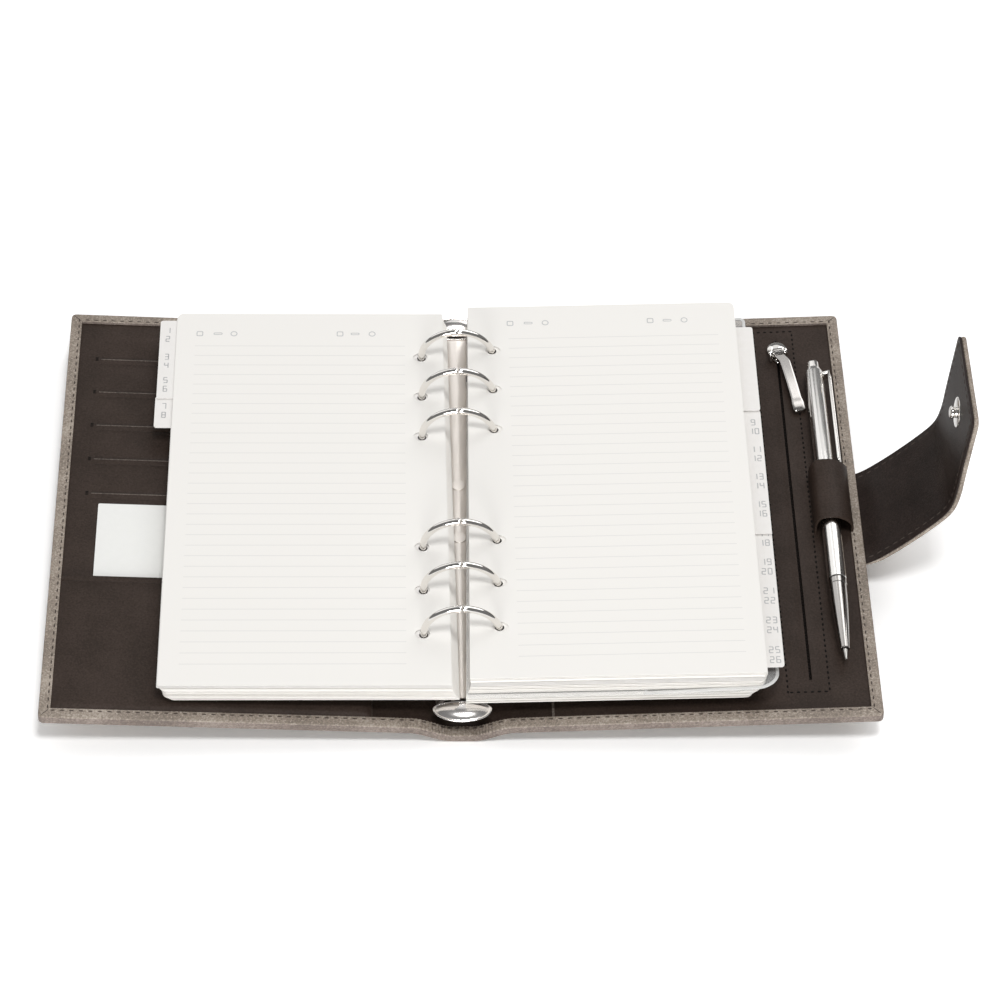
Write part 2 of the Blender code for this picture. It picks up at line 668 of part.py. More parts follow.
def build_cover(m, side, word, body):
    """Outer leather turned over its edges, a board, the soft strip and the panel."""
    wall = LEATHER
    inside = COVER_REACH - wall
    leather = new_object(f"{word}_leather",
                         cover_plate(cover_outline(HINGE_GAP, COVER_REACH, HALF, CORNER_R), side,
                                     0, COVER_THICK), m["leather"], body)
    cuts = [cover_plate(cover_outline(-wall, inside, HALF - wall, CORNER_R - wall), side, LEATHER, BAND_W),
            cover_box(side, (-wall, BAND_INNER), (-HALF + BAND_WIDTH, HALF - BAND_WIDTH),
                      (LEATHER, COVER_THICK + CUT)),
            cover_box(side, (-wall, BAND_START), (-HALF - CUT, HALF + CUT), (LEATHER, COVER_THICK + CUT))]
    if side > 0:
        slot = STRAP_WIDTH / 2 + FIT
        cuts.append(cover_box(side, (inside - CUT, COVER_REACH + CUT), (STRAP_Y - slot, STRAP_Y + slot),
                              (LEATHER, BAND_W)))
    else:
        hole = SOCKET_BARREL_D / 2 + FIT
        cuts.append(rod_z([(0, -AXIS_W - CUT), (hole, -AXIS_W - CUT), (hole, 0), (0, 0)],
                          side * SNAP_U, STRAP_Y, SNAP_SIDES))
    carve(leather, cuts)

    board_half = HALF - BOARD_MARGIN
    board = new_object(f"{word}_board",
                       cover_box(side, (BOARD_START, COVER_REACH - ANCHOR_ROOM), (-board_half, board_half),
                                 (BOARD_W, BOARD_W + BOARD)), m["board"], body)
    if side < 0:
        hole = SOCKET_BARREL_D / 2 + FIT
        carve(board, [rod_z([(0, -AXIS_W), (hole, -AXIS_W), (hole, CUT), (0, CUT)],
                            side * SNAP_U, STRAP_Y, SNAP_SIDES)])
    strip_half = HALF - wall - FIT
    new_object(f"{word}_hinge_lining",
               cover_box(side, (HINGE_GAP, HINGE_STRIP), (-strip_half, strip_half),
                         (BOARD_W, BOARD_W + LINING)), m["lining"], body)
    panel = new_object(f"{word}_panel",
                       cover_plate(cover_outline(PANEL_START, inside - FIT, strip_half, CORNER_R - wall),
                                   side, PANEL_W, PANEL_TOP), m["lining"], body)
    return panel


def build_front(m, empties):
    """Card slits, the large lower pocket, a card in it and the snap socket."""
    body = empties["front_cover"]
    side = -1
    panel = build_cover(m, side, "front", body)
    slits = []
    for i in range(SLIT_COUNT):
        y = SLIT_FAR - i * SLIT_PITCH
        slits.append(cover_box(side, (SLIT_START - SLIT_LENGTH, SLIT_START),
                               (y - SLIT_WIDTH / 2, y + SLIT_WIDTH / 2), (BOARD_W + BOARD, BAND_W)))
    carve(panel, slits)

    outer = BAND_INNER - FIT
    pocket = new_object("front_pocket",
                        cover_box(side, (PANEL_START, outer), (POCKET_FLOOR, POCKET_TOP),
                                  (POCKET_W, POCKET_ROOF_W + LINING)), m["lining"], body)
    carve(pocket, [cover_box(side, (PANEL_START + POCKET_SEAM, outer - POCKET_SEAM),
                             (POCKET_FLOOR + POCKET_SEAM, POCKET_TOP + CUT),
                             (POCKET_W - CUT, POCKET_ROOF_W))])
    new_object("business_card",
               cover_box(side, (CARD_EDGE - CARD_WIDTH, CARD_EDGE), (CARD_TOP - CARD_LENGTH, CARD_TOP),
                         (CARD_W, CARD_W + CARD)), m["card"], empties["card"])

    barrel = SOCKET_BARREL_D / 2
    bore = STUD_D / 2 + RUN
    flange = SOCKET_D / 2
    top = BOARD_W + BOARD
    low = -LAYER - SOCKET_FLANGE
    profile = [(bore, top), (barrel, top), (barrel, -LAYER), (flange, -LAYER), (flange, low + 0.3),
               (flange - 0.5, low), (bore, low), (bore, top)]
    new_object("snap_socket",
               rod_z([(r, w - AXIS_W) for r, w in profile], side * SNAP_U, STRAP_Y, SNAP_SIDES),
               m["chrome"], body)


def build_back(m, empties):
    """The zip pocket with its slider and pull, and the pen loop."""
    body = empties["back_cover"]
    side = 1
    panel = build_cover(m, side, "back", body)
    carve(panel, [cover_box(side, (ZIP_LINE - ZIP_SLOT / 2, ZIP_LINE + ZIP_SLOT / 2), (ZIP_NEAR, ZIP_FAR),
                            (BOARD_W + BOARD, BAND_W))])
    build_zip_chain(m, side, body)
    build_slider(m, empties)
    build_pen_loop(m, side, body)


def build_zip_chain(m, side, body):
    """The closed zip in its slot: a strip whose edges step in and out as teeth."""
    near = ZIP_NEAR + FIT
    far = ZIP_FAR - FIT
    count = int((far - near) / ZIP_TOOTH_PITCH)
    pitch = (far - near) / count
    right = []
    for i in range(count):
        y = near + i * pitch
        right += [(ZIP_TEETH / 2, y), (ZIP_TEETH / 2, y + pitch / 2),
                  (ZIP_TEETH / 3, y + pitch / 2), (ZIP_TEETH / 3, y + pitch)]
    left = [(-u, y) for u, y in reversed(right)]
    outline = [(ZIP_LINE + u, y) for u, y in right + left]
    new_object("zip_chain", cover_plate(outline, side, PANEL_W, PANEL_TOP), m["zip"], body)


def build_slider(m, empties):
    """A shield-shaped slider with a pin for the pull, and the long flared pull."""
    body = empties["zip_slider"]
    half = SLIDER_WIDTH / 2
    ahead = SLIDER_LENGTH / 2
    floor = SLIDER_W - AXIS_W
    outline = rounded([(-half, ahead, 1.5), (-half * 0.55, -ahead, 1.2), (half * 0.55, -ahead, 1.2),
                       (half, ahead, 1.5)])
    plate = plate_z(outline, floor, floor + SLIDER_HEIGHT)
    slider = new_object("zip_slider", plate, m["chrome"], body)
    pull_body = empties["zip_pull"]
    eye = PULL_WIDTH / 2 + FIT
    pin = BRIDGE_PIN / 2
    centre_y = PULL_AXIS_Y - SLIDER_Y
    centre_z = PULL_AXIS_W - AXIS_W
    turn = Matrix.Translation((0, centre_y, centre_z)) @ Matrix.Rotation(PULL_YAW, 4, "Z")
    sunk = eye + BRIDGE_POST / 2
    extras = [rod_x(pin, -sunk, sunk, 0, 0, 10)]
    for s in (-1, 1):
        xs = sorted((s * eye, s * (eye + BRIDGE_POST)))
        extras.append(block(xs, (-BRIDGE_PIN, BRIDGE_PIN), (-BRIDGE_LIFT - SLIDER_HEIGHT / 2, pin * 1.4)))
    for extra in extras:
        bmesh.ops.transform(extra, matrix=turn, verts=extra.verts)
    carve(slider, extras, "UNION")

    width = PULL_WIDTH / 2
    outline = [(width, PULL_EYE_WALL), (width, -PULL_LENGTH * 0.72), (PULL_FLARE / 2, -PULL_LENGTH * 0.86),
               (PULL_FLARE / 2, -PULL_LENGTH)]
    outline += [(-x, y) for x, y in reversed(outline)]
    outline = rounded([(x, y, 0.8) for x, y in outline], steps=2)
    pull = plate_z(outline, -PULL_SHEET / 2, PULL_SHEET / 2)
    yaw = Matrix.Rotation(PULL_YAW, 4, "Z")
    bmesh.ops.transform(pull, matrix=yaw, verts=pull.verts)
    pull = new_object("zip_pull", pull, m["chrome"], pull_body)
    eye_half = width - PULL_SHEET / 4
    eye_barrel = rod_x(PULL_EYE_R, -eye_half, eye_half, 0, 0, 12)
    bmesh.ops.transform(eye_barrel, matrix=yaw, verts=eye_barrel.verts)
    carve(pull, [eye_barrel], "UNION")
    bore = rod_x(BRIDGE_PIN / 2 + FIT, -PULL_FLARE, PULL_FLARE, 0, 0, 12)
    bmesh.ops.transform(bore, matrix=yaw, verts=bore.verts)
    carve(pull, [bore])


def build_pen_loop(m, side, body):
    """A leather arch over the pen, sewn down by a flange on either side."""
    inner = PEN_D / 2 + RUN
    outer = inner + LOOP_LEATHER
    floor = PANEL_TOP + LAYER
    steps = 10
    arch_out = []
    arch_in = []
    for i in range(steps + 1):
        a = pi * i / steps
        arch_out.append((PEN_LINE + outer * cos(a), PEN_W + outer * sin(a)))
        arch_in.append((PEN_LINE + inner * cos(a), PEN_W + inner * sin(a)))
    flange_top = floor + LOOP_LEATHER
    right = BAND_INNER - FIT
    left = PEN_LINE - outer - LOOP_FLANGE
    outline = [(right, floor), (right, flange_top), (PEN_LINE + outer, flange_top)] + arch_out
    outline += [(PEN_LINE - outer, flange_top), (left, flange_top), (left, floor),
                (PEN_LINE - inner, floor)]
    outline += list(reversed(arch_in)) + [(PEN_LINE + inner, floor)]
    outline = [(side * u, w - AXIS_W) for u, w in outline]
    new_object("pen_loop", section_y(outline, LOOP_NEAR, LOOP_FAR), m["lining"], body)


def build_pen(m, empties):
    """A push-button ballpoint lying in the loop."""
    body = empties["pen"]
    r = PEN_D / 2
    bore = PEN_BORE / 2
    button_hole = BUTTON_D / 2 + FIT
    shoulder = PEN_TOP - PEN_SHOULDER
    barrel = [(bore, PEN_JOINT + FIT), (r, PEN_JOINT + FIT), (r, shoulder), (r * 0.88, PEN_TOP),
              (button_hole, PEN_TOP), (button_hole, shoulder - CUT), (bore, shoulder - CUT),
              (bore, PEN_JOINT + FIT)]
    new_object("pen_barrel", turned(barrel, PEN_SIDES), m["pen"], body, SMOOTH_TURNED)

    nose_r = PEN_NOSE_D / 2
    tip_bore = REFILL_D / 2 + FIT
    nose = [(tip_bore, PEN_JOINT)]
    nose += [(r, PEN_JOINT), (r, PEN_JOINT - PEN_NOSE_COLLAR)]
    taper = PEN_JOINT - PEN_NOSE_COLLAR
    for i in range(1, 6):
        t = i / 5
        nose.append((r + (nose_r - r) * t ** 1.6, taper + (PEN_NOSE - taper) * t))
    nose += [(tip_bore, PEN_NOSE), (tip_bore, PEN_JOINT)]
    new_object("pen_nose", turned(list(reversed(nose)), PEN_SIDES), m["chrome"], body, SMOOTH_TURNED)

    refill_r = REFILL_D / 2
    point = REFILL_POINT_D / 2
    refill = [(0, REFILL_END), (point, REFILL_END), (refill_r, PEN_NOSE + 1), (refill_r, REFILL_TOP),
              (0, REFILL_TOP)]
    new_object("pen_refill", turned(refill, 10), m["steel"], empties["pen_refill"],
               SMOOTH_TURNED)

    button_r = BUTTON_D / 2
    button_top = PEN_TOP + BUTTON_RISE + BUTTON_TRAVEL
    button = [(0, PEN_TOP - BUTTON_DEPTH), (button_r, PEN_TOP - BUTTON_DEPTH),
              (button_r, button_top - 0.8), (button_r * 0.7, button_top), (0, button_top)]
    new_object("pen_button", turned(button, 12), m["chrome"], empties["pen_button"],
               SMOOTH_TURNED)

    half = CLIP_WIDTH / 2
    inner = r + CLIP_LIFT
    outer = inner + CLIP_SHEET
    profile = [(r + FIT, CLIP_TOP), (outer - 0.3, CLIP_TOP), (outer, CLIP_TOP - 1.2),
               (outer, CLIP_END + 1.0), (outer - 0.4, CLIP_END), (inner, CLIP_END),
               (inner, CLIP_TOP - CLIP_FOOT), (r + FIT, CLIP_TOP - CLIP_FOOT)]
    clip = prism([(x, y, -half) for x, y in profile], (0, 0, CLIP_WIDTH))
    slot = block((inner - CUT, outer + CUT), (CLIP_END + CLIP_WIDTH / 2, CLIP_TOP - 2 * CLIP_FOOT),
                 (-CLIP_SLOT / 2, CLIP_SLOT / 2))
    turn = Matrix.Rotation(-CLIP_ANGLE, 3, "Y")
    for shape in (clip, slot):
        bmesh.ops.rotate(shape, cent=(0, 0, 0), matrix=turn, verts=shape.verts)
    clip = new_object("pen_clip", clip, m["chrome"], body)
    carve(clip, [slot])


def build_strap(m, empties):
    """A sewn-in anchor, the strap's two stretches and the press stud."""
    half = STRAP_WIDTH / 2
    body = empties["back_cover"]
    anchor_start = COVER_REACH - ANCHOR_ROOM + FIT
    new_object("strap_anchor",
               cover_box(1, (anchor_start, COVER_REACH + STRAP_ROOT_OUT - STRAP_FOLD_GAP),
                         (STRAP_Y - half, STRAP_Y + half), (BOARD_W, BOARD_W + BOARD)),
               m["leather"], body)

    base = empties["strap_base"]
    start = STRAP_FOLD_GAP
    end = STRAP_BASE - STRAP_FOLD_GAP
    leather_low = -STRAP_THICK
    leather_top = -STRAP_LINING - LAYER
    new_object("strap_base_leather",
               block((start, end), (-half, half), (leather_low, leather_top)), m["leather"], base)
    new_object("strap_base_lining",
               block((start, end), (-half, half), (-STRAP_LINING, 0)), m["lining"], base)

    tip = empties["strap_tip"]
    outline = rounded([(start, -half, 0), (STRAP_TIP, -half, STRAP_CORNER),
                       (STRAP_TIP, half, STRAP_CORNER), (start, half, 0)])
    shank = STUD_NECK_D / 2
    leather = new_object("strap_tip_leather", plate_z(outline, leather_low, leather_top), m["leather"], tip)
    lining = new_object("strap_tip_lining", plate_z(outline, -STRAP_LINING, 0), m["lining"], tip)
    hole = shank + FIT
    for piece in (leather, lining):
        carve(piece, [rod_z([(0, leather_low - CUT), (hole, leather_low - CUT), (hole, CUT), (0, CUT)],
                            STUD_FROM_FOLD, 0, SNAP_SIDES)])
    flange = STUD_FLANGE_D / 2
    head = LAYER + STUD_FLANGE
    top = head + STUD_HEIGHT
    bead = STUD_D / 2
    stud = [(0, leather_low), (shank, leather_low), (shank, LAYER), (flange, LAYER),
            (flange, head - 0.2), (flange - 0.4, head), (shank, head), (shank, head + 0.8),
            (bead, head + 1.4), (bead, top - 0.6), (bead - 0.6, top), (0, top)]
    new_object("snap_stud", rod_z(stud, STUD_FROM_FOLD, 0, SNAP_SIDES), m["chrome"], tip, SMOOTH_TURNED)
    cap_top = leather_low - LAYER
    cap = [(0, cap_top)]
    for i in range(5):
        a = pi / 2 * i / 4
        cap.append((CAP_D / 2 * cos(a), cap_top - CAP_HEIGHT * sin(a)))
    new_object("snap_cap", rod_z(cap, STUD_FROM_FOLD, 0, SNAP_SIDES), m["chrome"], tip, SMOOTH_TURNED)


def inner_edge(z, side):
    """Inner edge of the sheet at one height: the holes follow the rings."""
    drop = RING_CENTRE_Z - z
    run = sqrt(HOLE_RUN_R ** 2 - drop ** 2)
    return side * (run - HOLE_MARGIN)


def ring_angle(height, radius):
    """Angle from the ring's level line to a point on a circle at one height."""
    return asin(min(max(height / radius, -1.0), 1.0))


def hole_cutters(side, body, low, high):
    """Six oval slots that follow the rings through a stack."""
    near_r = HOLE_RUN_R - HOLE_RADIAL / 2
    far_r = HOLE_RUN_R + HOLE_RADIAL / 2
    above = high - RING_CENTRE_Z
    below = low - RING_CENTRE_Z
    margin = radians(6.0)
    start = pi / 2 - ring_angle(above, near_r if above > 0 else far_r) - margin
    end = min(pi / 2 - ring_angle(below, near_r if below < 0 else far_r) + margin, pi)
    steps = max(2, round(degrees(end - start) / 12))
    cutters = []
    for y in RING_YS:
        cutter = ring_sweep(HOLE_RUN_R, HOLE_RADIAL / 2, HOLE_WIDTH / 2, HOLE_SIDES, side * start,
                            side * end, steps, y)
        cutters.append(world_in(cutter, body))
    return cutters


def sheet_outline(inner, outer, side, tab=None, near=None):
    """A page outline, with an index tab on its fore edge where one is given."""
    low = -PAGE_HALF if near is None else near
    corners = [(inner, low, 0), (outer, low, PAGE_CORNER)]
    if tab:
        far = PAGE_HALF - tab[0]
        close = far - tab[1]
        reach = outer + TAB_REACH
        if close > low + PAGE_CORNER:
            corners += [(outer, close, 0)]
        corners += [(reach, close, TAB_CORNER), (reach, far, TAB_CORNER), (outer, far, 0)]
    corners += [(outer, PAGE_HALF, PAGE_CORNER), (inner, PAGE_HALF, 0)]
    return [(side * x, y) for x, y in rounded(corners)]


def tilted(bm, side, tilt):
    """Raise the fore edge of a flat stack."""
    for v in bm.verts:
        v.co.z += side * v.co.x * tan(tilt)
    return bm


def sheet(name, side, body, material, top, thickness, tilt, tab=None, near=None):
    """One divider or leaf, threaded on the rings."""
    inner = abs(inner_edge(top, side))
    outer = inner + PAGE_WIDTH
    bm = plate_z(sheet_outline(inner, outer, side, tab, near), top - thickness, top)
    obj = new_object(name, world_in(tilted(bm, side, tilt), body), material, body)
    reach = HOLE_RUN_R * tan(tilt)
    carve(obj, hole_cutters(side, body, top - thickness, top + reach))
    return top - thickness - FIT


def paper_block(name, side, body, material, top, bottom, tilt):
    """A block of pages whose inner face leans in along the rings."""
    inner_top = abs(inner_edge(top, side))
    inner_low = abs(inner_edge(bottom, side))
    inner_low = max(inner_low, STACK_FOOT)
    outer = inner_top + PAGE_WIDTH
    outline = [(inner_low, bottom), (outer, bottom), (outer, top), (inner_top, top)]
    outline = [(side * x, z) for x, z in outline]
    bm = tilted(section_y(outline, -PAGE_HALF, PAGE_HALF), side, tilt)
    obj = new_object(name, world_in(bm, body), material, body)
    reach = HOLE_RUN_R * tan(tilt)
    carve(obj, hole_cutters(side, body, bottom, top + reach))
    return bottom - FIT


def build_paper(m, empties):
    """Left: leaf, two index dividers, pages.  Right: pages, dividers, pouch, pages."""
    left = empties["left_pages"]
    level = LEFT_TOP
    level = sheet("turning_leaf", -1, empties["turning_leaf"], m["paper"], level, SHEET, 0.0)
    for number, tab in enumerate(LEFT_TABS, start=1):
        level = sheet(f"left_index_{number}", -1, left, m["index"], level, DIVIDER, 0.0, tab)
    paper_block("left_page_block", -1, left, m["paper"], level, LEFT_BOTTOM, 0.0)

    right = empties["right_pages"]
    level = RIGHT_TOP
    level = paper_block("right_upper_pages", 1, right, m["paper"], level, level - UPPER_BLOCK, RIGHT_TILT)
    level = sheet("contact_divider", 1, right, m["index"], level, DIVIDER, RIGHT_TILT, CONTACT_TAB)
    step = (PAGE_LENGTH - INDEX_START - INDEX_MARGIN) / INDEX_COUNT
    for number in range(INDEX_COUNT):
        level = sheet(f"right_index_{number + 1}", 1, right, m["index"], level, DIVIDER, RIGHT_TILT,
                      (INDEX_START + number * step, step))
    level = paper_block("right_middle_pages", 1, right, m["paper"], level, level - MIDDLE_BLOCK, RIGHT_TILT)
    level = sheet("clear_pouch", 1, right, m["clear"], level, DIVIDER, RIGHT_TILT,
                  near=-PAGE_HALF - POUCH_OVERHANG)
    paper_block("right_lower_pages", 1, right, m["paper"], level, RIGHT_BOTTOM, RIGHT_TILT)


def make_empties():
    """One empty on each joint axis."""
    e = {}
    e["front_cover"] = axis_empty("front_cover_axis", (-HINGE_X, 0, HINGE_Z), COVER_TILT)
    e["back_cover"] = axis_empty("back_cover_axis", (HINGE_X, 0, HINGE_Z), -COVER_TILT)
    page_z = RING_CENTRE_Z + PAGE_SHIFT
    e["left_pages"] = axis_empty("left_pages_axis", (-PAGE_SHIFT, 0, page_z))
    e["right_pages"] = axis_empty("right_pages_axis", (PAGE_SHIFT, 0, page_z))
    e["turning_leaf"] = axis_empty("turning_leaf_axis", (0, 0, RING_CENTRE_Z + LEAF_AXIS_RISE))
    for side, word in ((-1, "left"), (1, "right")):
        e[f"{word}_rings"] = axis_empty(f"{word}_rings_axis", (side * PLATE_REACH, 0, PLATE_Z))
    for side, word in ((-1, "near"), (1, "far")):
        e[f"{word}_lever"] = axis_empty(f"{word}_lever_axis", (0, side * lever_pin_y(), lever_pin_z()))
    e["card"] = axis_empty("card_axis", (0, 0, 0), parent=e["front_cover"])
    back = e["back_cover"]
    e["zip_slider"] = axis_empty("zip_slider_axis", (ZIP_LINE, SLIDER_Y, 0), parent=back)
    e["zip_pull"] = axis_empty("zip_pull_axis", (ZIP_LINE, PULL_AXIS_Y, PULL_AXIS_W - AXIS_W), parent=back)
    for name in ("pen", "pen_refill", "pen_button"):
        e[name] = axis_empty(f"{name}_axis", (PEN_LINE, 0, PEN_W - AXIS_W), parent=back)
    fold = (COVER_REACH + STRAP_ROOT_OUT, STRAP_Y, STRAP_ROOT_W - AXIS_W)
    e["strap_base"] = axis_empty("strap_base_axis", fold, COVER_TILT - STRAP_BASE_REST, back)
    e["strap_tip"] = axis_empty("strap_tip_axis", (STRAP_BASE, 0, 0),
                                STRAP_BASE_REST - STRAP_TIP_REST, e["strap_base"])
    return e


def main():
    clear_scene()
    finishes = make_finishes()
    empties = make_empties()
    build_spine(finishes)
    build_rail(finishes)
    build_rings(finishes, empties)
    build_levers(finishes, empties)
    build_front(finishes, empties)
    build_back(finishes, empties)
    build_pen(finishes, empties)
    build_strap(finishes, empties)
    build_paper(finishes, empties)


main()
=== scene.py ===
# %% [markdown]
# # A leather planner that opens on rings
# This lesson dresses the solid model of a ring-binder planner. The solids already carry the
# sizes, the joints and the collision. Here each one gets the surface that the real thing shows:
# leather turned over an edge and stitched, punched sheets, chrome wire, a zip and a pen.
# Everything is modelled in millimetres and scaled to metres when it becomes an object.

# %% Load the solid model
import json
import random
from functools import partial
from math import asin, cos, pi, radians, sin, sqrt, tan

import bmesh
import bpy
from mathutils import Matrix, Vector


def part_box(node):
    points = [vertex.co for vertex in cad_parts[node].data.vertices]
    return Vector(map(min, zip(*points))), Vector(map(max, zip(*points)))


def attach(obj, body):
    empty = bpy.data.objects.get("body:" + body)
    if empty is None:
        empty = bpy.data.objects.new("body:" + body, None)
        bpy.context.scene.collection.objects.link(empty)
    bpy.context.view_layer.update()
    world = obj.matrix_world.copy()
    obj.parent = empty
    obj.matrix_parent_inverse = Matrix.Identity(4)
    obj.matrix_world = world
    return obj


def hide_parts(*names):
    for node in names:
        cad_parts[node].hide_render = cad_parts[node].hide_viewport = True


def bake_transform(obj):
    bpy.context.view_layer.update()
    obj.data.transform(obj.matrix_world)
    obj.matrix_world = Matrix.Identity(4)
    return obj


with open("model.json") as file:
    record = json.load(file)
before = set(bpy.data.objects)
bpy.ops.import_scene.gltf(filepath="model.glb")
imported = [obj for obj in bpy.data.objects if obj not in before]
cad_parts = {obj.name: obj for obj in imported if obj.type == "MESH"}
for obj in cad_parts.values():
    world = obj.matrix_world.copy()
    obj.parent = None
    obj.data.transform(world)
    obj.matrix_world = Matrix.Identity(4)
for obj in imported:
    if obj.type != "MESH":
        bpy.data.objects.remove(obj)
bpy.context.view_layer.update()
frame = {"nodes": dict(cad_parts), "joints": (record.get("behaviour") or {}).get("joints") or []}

MM = 0.001
scene = bpy.context.scene
dice = random.Random(7)


# %% [markdown]
# ## Where things are
# A dressed piece has to sit where its solid sits. Reading the boxes and the joint positions
# from the loaded frame keeps the two together, and saves repeating numbers that the model
# knows.

# %% Read sizes from the frame
def span(node):
    """Lowest and highest corner of a solid, in millimetres."""
    low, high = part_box(node)
    return low / MM, high / MM


def pivot(joint_name):
    """A joint's position, in millimetres."""
    found = next(j for j in frame["joints"] if j["name"] == joint_name)
    return Vector(found["pos_m"]) / MM


def middle_y(node):
    low, high = span(node)
    return (low.y + high.y) / 2


HALF = span("spine_leather")[1].y          # half the length of the case
HINGE = pivot("back_cover_fold")           # right fold line
COVER_TILT = radians(2.8)
COVER_REACH = 121.5                        # fold line to fore edge
COVER_THICK = 3.55
AXIS_W = 2.0                               # fold line above a cover's outer face
LEATHER = 0.9
BAND = 3.9                                 # leather turned over onto the inside
SPINE_FLAT = 3.5
SPINE_RISE = HINGE.z - AXIS_W
RING_YS = sorted(middle_y(f"left_ring_{i}") for i in range(1, 7))
RING_CENTRE_Z = 21.8
RING_R = 12.7
WIRE = 2.4
print("rings at", [round(y, 1) for y in RING_YS])


# %% [markdown]
# ## The camera
# The photograph was taken from above the near edge with a long lens, turned a little to the
# right and rolled a little. The camera is set from those angles as a matrix of its right, up
# and back directions, because three Euler angles would hide which way it looks.

# %% Place the camera
CAMERA_AT = Vector((-24.833, -776.194, 903.10))
LOOK_DOWN = radians(48.76)
LOOK_RIGHT = radians(2.876)
ROLL = radians(2.179)
FOCAL_PIXELS = 3405.739
PICTURE_PIXELS = 1000

level = cos(LOOK_DOWN)
ahead = Vector((sin(LOOK_RIGHT) * level, cos(LOOK_RIGHT) * level, -sin(LOOK_DOWN)))
level_right = ahead.cross(Vector((0, 0, 1))).normalized()
level_up = level_right.cross(ahead)
right = cos(ROLL) * level_right + sin(ROLL) * level_up
up = cos(ROLL) * level_up - sin(ROLL) * level_right
camera = bpy.data.objects.new("camera", bpy.data.cameras.new("camera"))
facing = Matrix((right, up, -ahead)).transposed().to_4x4()
camera.matrix_world = Matrix.Translation(CAMERA_AT * MM) @ facing
camera.data.sensor_width = 36.0
camera.data.lens = FOCAL_PIXELS / PICTURE_PIXELS * camera.data.sensor_width
camera.data.clip_end = 20.0
scene.collection.objects.link(camera)
scene.camera = camera
print("lens", round(camera.data.lens, 1), "mm")


# %% [markdown]
# ## The light
# A product picture is lit by soft boxes over a white table. The main one hangs above and a
# little in front, so the rings shade the pages just behind them; a wider one behind and to the
# right gives the covers their edge shadows. Two pale walls behind are there for the chrome and
# the pen to reflect, and a low lamp in front reaches the cut edges of the paper. The room stays
# dim, because metal needs something dark to reflect as well.

# %% Light the room
def link(tree, source, target):
    tree.links.new(source, target)


def add_node(tree, kind, **values):
    """Add a shader node; values name its inputs or, failing that, its settings."""
    node = tree.nodes.new(kind)
    for key, value in values.items():
        name = key.replace("_", " ")
        if name in node.inputs:
            node.inputs[name].default_value = value
        else:
            setattr(node, key, value)
    return node


def seen_directly(tree):
    """1 on rays from the camera, a mirror or through glass, 0 on light that bounces."""
    path = add_node(tree, "ShaderNodeLightPath")
    either = add_node(tree, "ShaderNodeMath", operation="MAXIMUM")
    link(tree, path.outputs["Is Camera Ray"], either.inputs[0])
    link(tree, path.outputs["Is Transmission Ray"], either.inputs[1])
    return either.outputs["Value"]


FILL = 0.18
WHITE = (1.0, 1.0, 1.0, 1.0)
scene.world = bpy.data.worlds.new("studio")
scene.world.use_nodes = True
tree = scene.world.node_tree
fill = tree.nodes["Background"]
fill.inputs["Color"].default_value = WHITE
fill.inputs["Strength"].default_value = FILL
white = add_node(tree, "ShaderNodeBackground", Color=WHITE, Strength=1.0)
choose = add_node(tree, "ShaderNodeMixShader")
link(tree, seen_directly(tree), choose.inputs["Fac"])
link(tree, fill.outputs["Background"], choose.inputs[1])
link(tree, white.outputs["Background"], choose.inputs[2])
link(tree, choose.outputs["Shader"], tree.nodes["World Output"].inputs["Surface"])


def lamp(name, at, size, watts):
    """A round soft box aimed at the planner."""
    light = bpy.data.lights.new(name, "AREA")
    light.shape = "DISK"
    light.size = size
    light.energy = watts
    obj = bpy.data.objects.new(name, light)
    obj.location = at
    obj.rotation_euler = (-Vector(at)).to_track_quat("-Z", "Y").to_euler()
    scene.collection.objects.link(obj)


lamp("main_above", (0.12, -0.42, 1.6), 0.4, 10.2)
lamp("key_behind_right", (0.85, 0.8, 1.3), 1.4, 9.0)
lamp("wall_behind_left", (-1.35, 1.45, 1.25), 2.2, 10.0)
lamp("wall_behind", (0.1, 1.5, 1.75), 1.7, 5.0)
lamp("front_low", (-0.2, -1.7, 0.35), 0.9, 21.0)
scene.view_settings.view_transform = "Standard"
print(len(bpy.data.lights), "lamps, fill", FILL)


# %% [markdown]
# ## The table
# To the camera alone it is paler than paint can be, which keeps it white up to a narrow
# contact shadow. A brighter lamp would do that too, but it would burn out the pages.

# %% Lay the table
TABLE_PAINT = 0.96
TABLE_BLEACH = 0.36                        # added for the camera
floor_mesh = bmesh.new()
bmesh.ops.create_circle(floor_mesh, cap_ends=True, segments=64, radius=4.0)
floor_data = bpy.data.meshes.new("table")
floor_mesh.to_mesh(floor_data)
floor_mesh.free()
table = bpy.data.objects.new("table", floor_data)
scene.collection.objects.link(table)
table_paint = bpy.data.materials.new("white_table")
table_paint.use_nodes = True
tree = table_paint.node_tree
tree.nodes.remove(tree.nodes["Principled BSDF"])
table_shader = add_node(tree, "ShaderNodeBsdfDiffuse")
bleach = add_node(tree, "ShaderNodeMath", operation="MULTIPLY_ADD")
link(tree, seen_directly(tree), bleach.inputs[0])
bleach.inputs[1].default_value = TABLE_BLEACH
bleach.inputs[2].default_value = TABLE_PAINT
link(tree, bleach.outputs["Value"], table_shader.inputs["Color"])
link(tree, table_shader.outputs["BSDF"], tree.nodes["Material Output"].inputs["Surface"])
floor_data.materials.append(table_paint)
print("table paint", TABLE_PAINT)
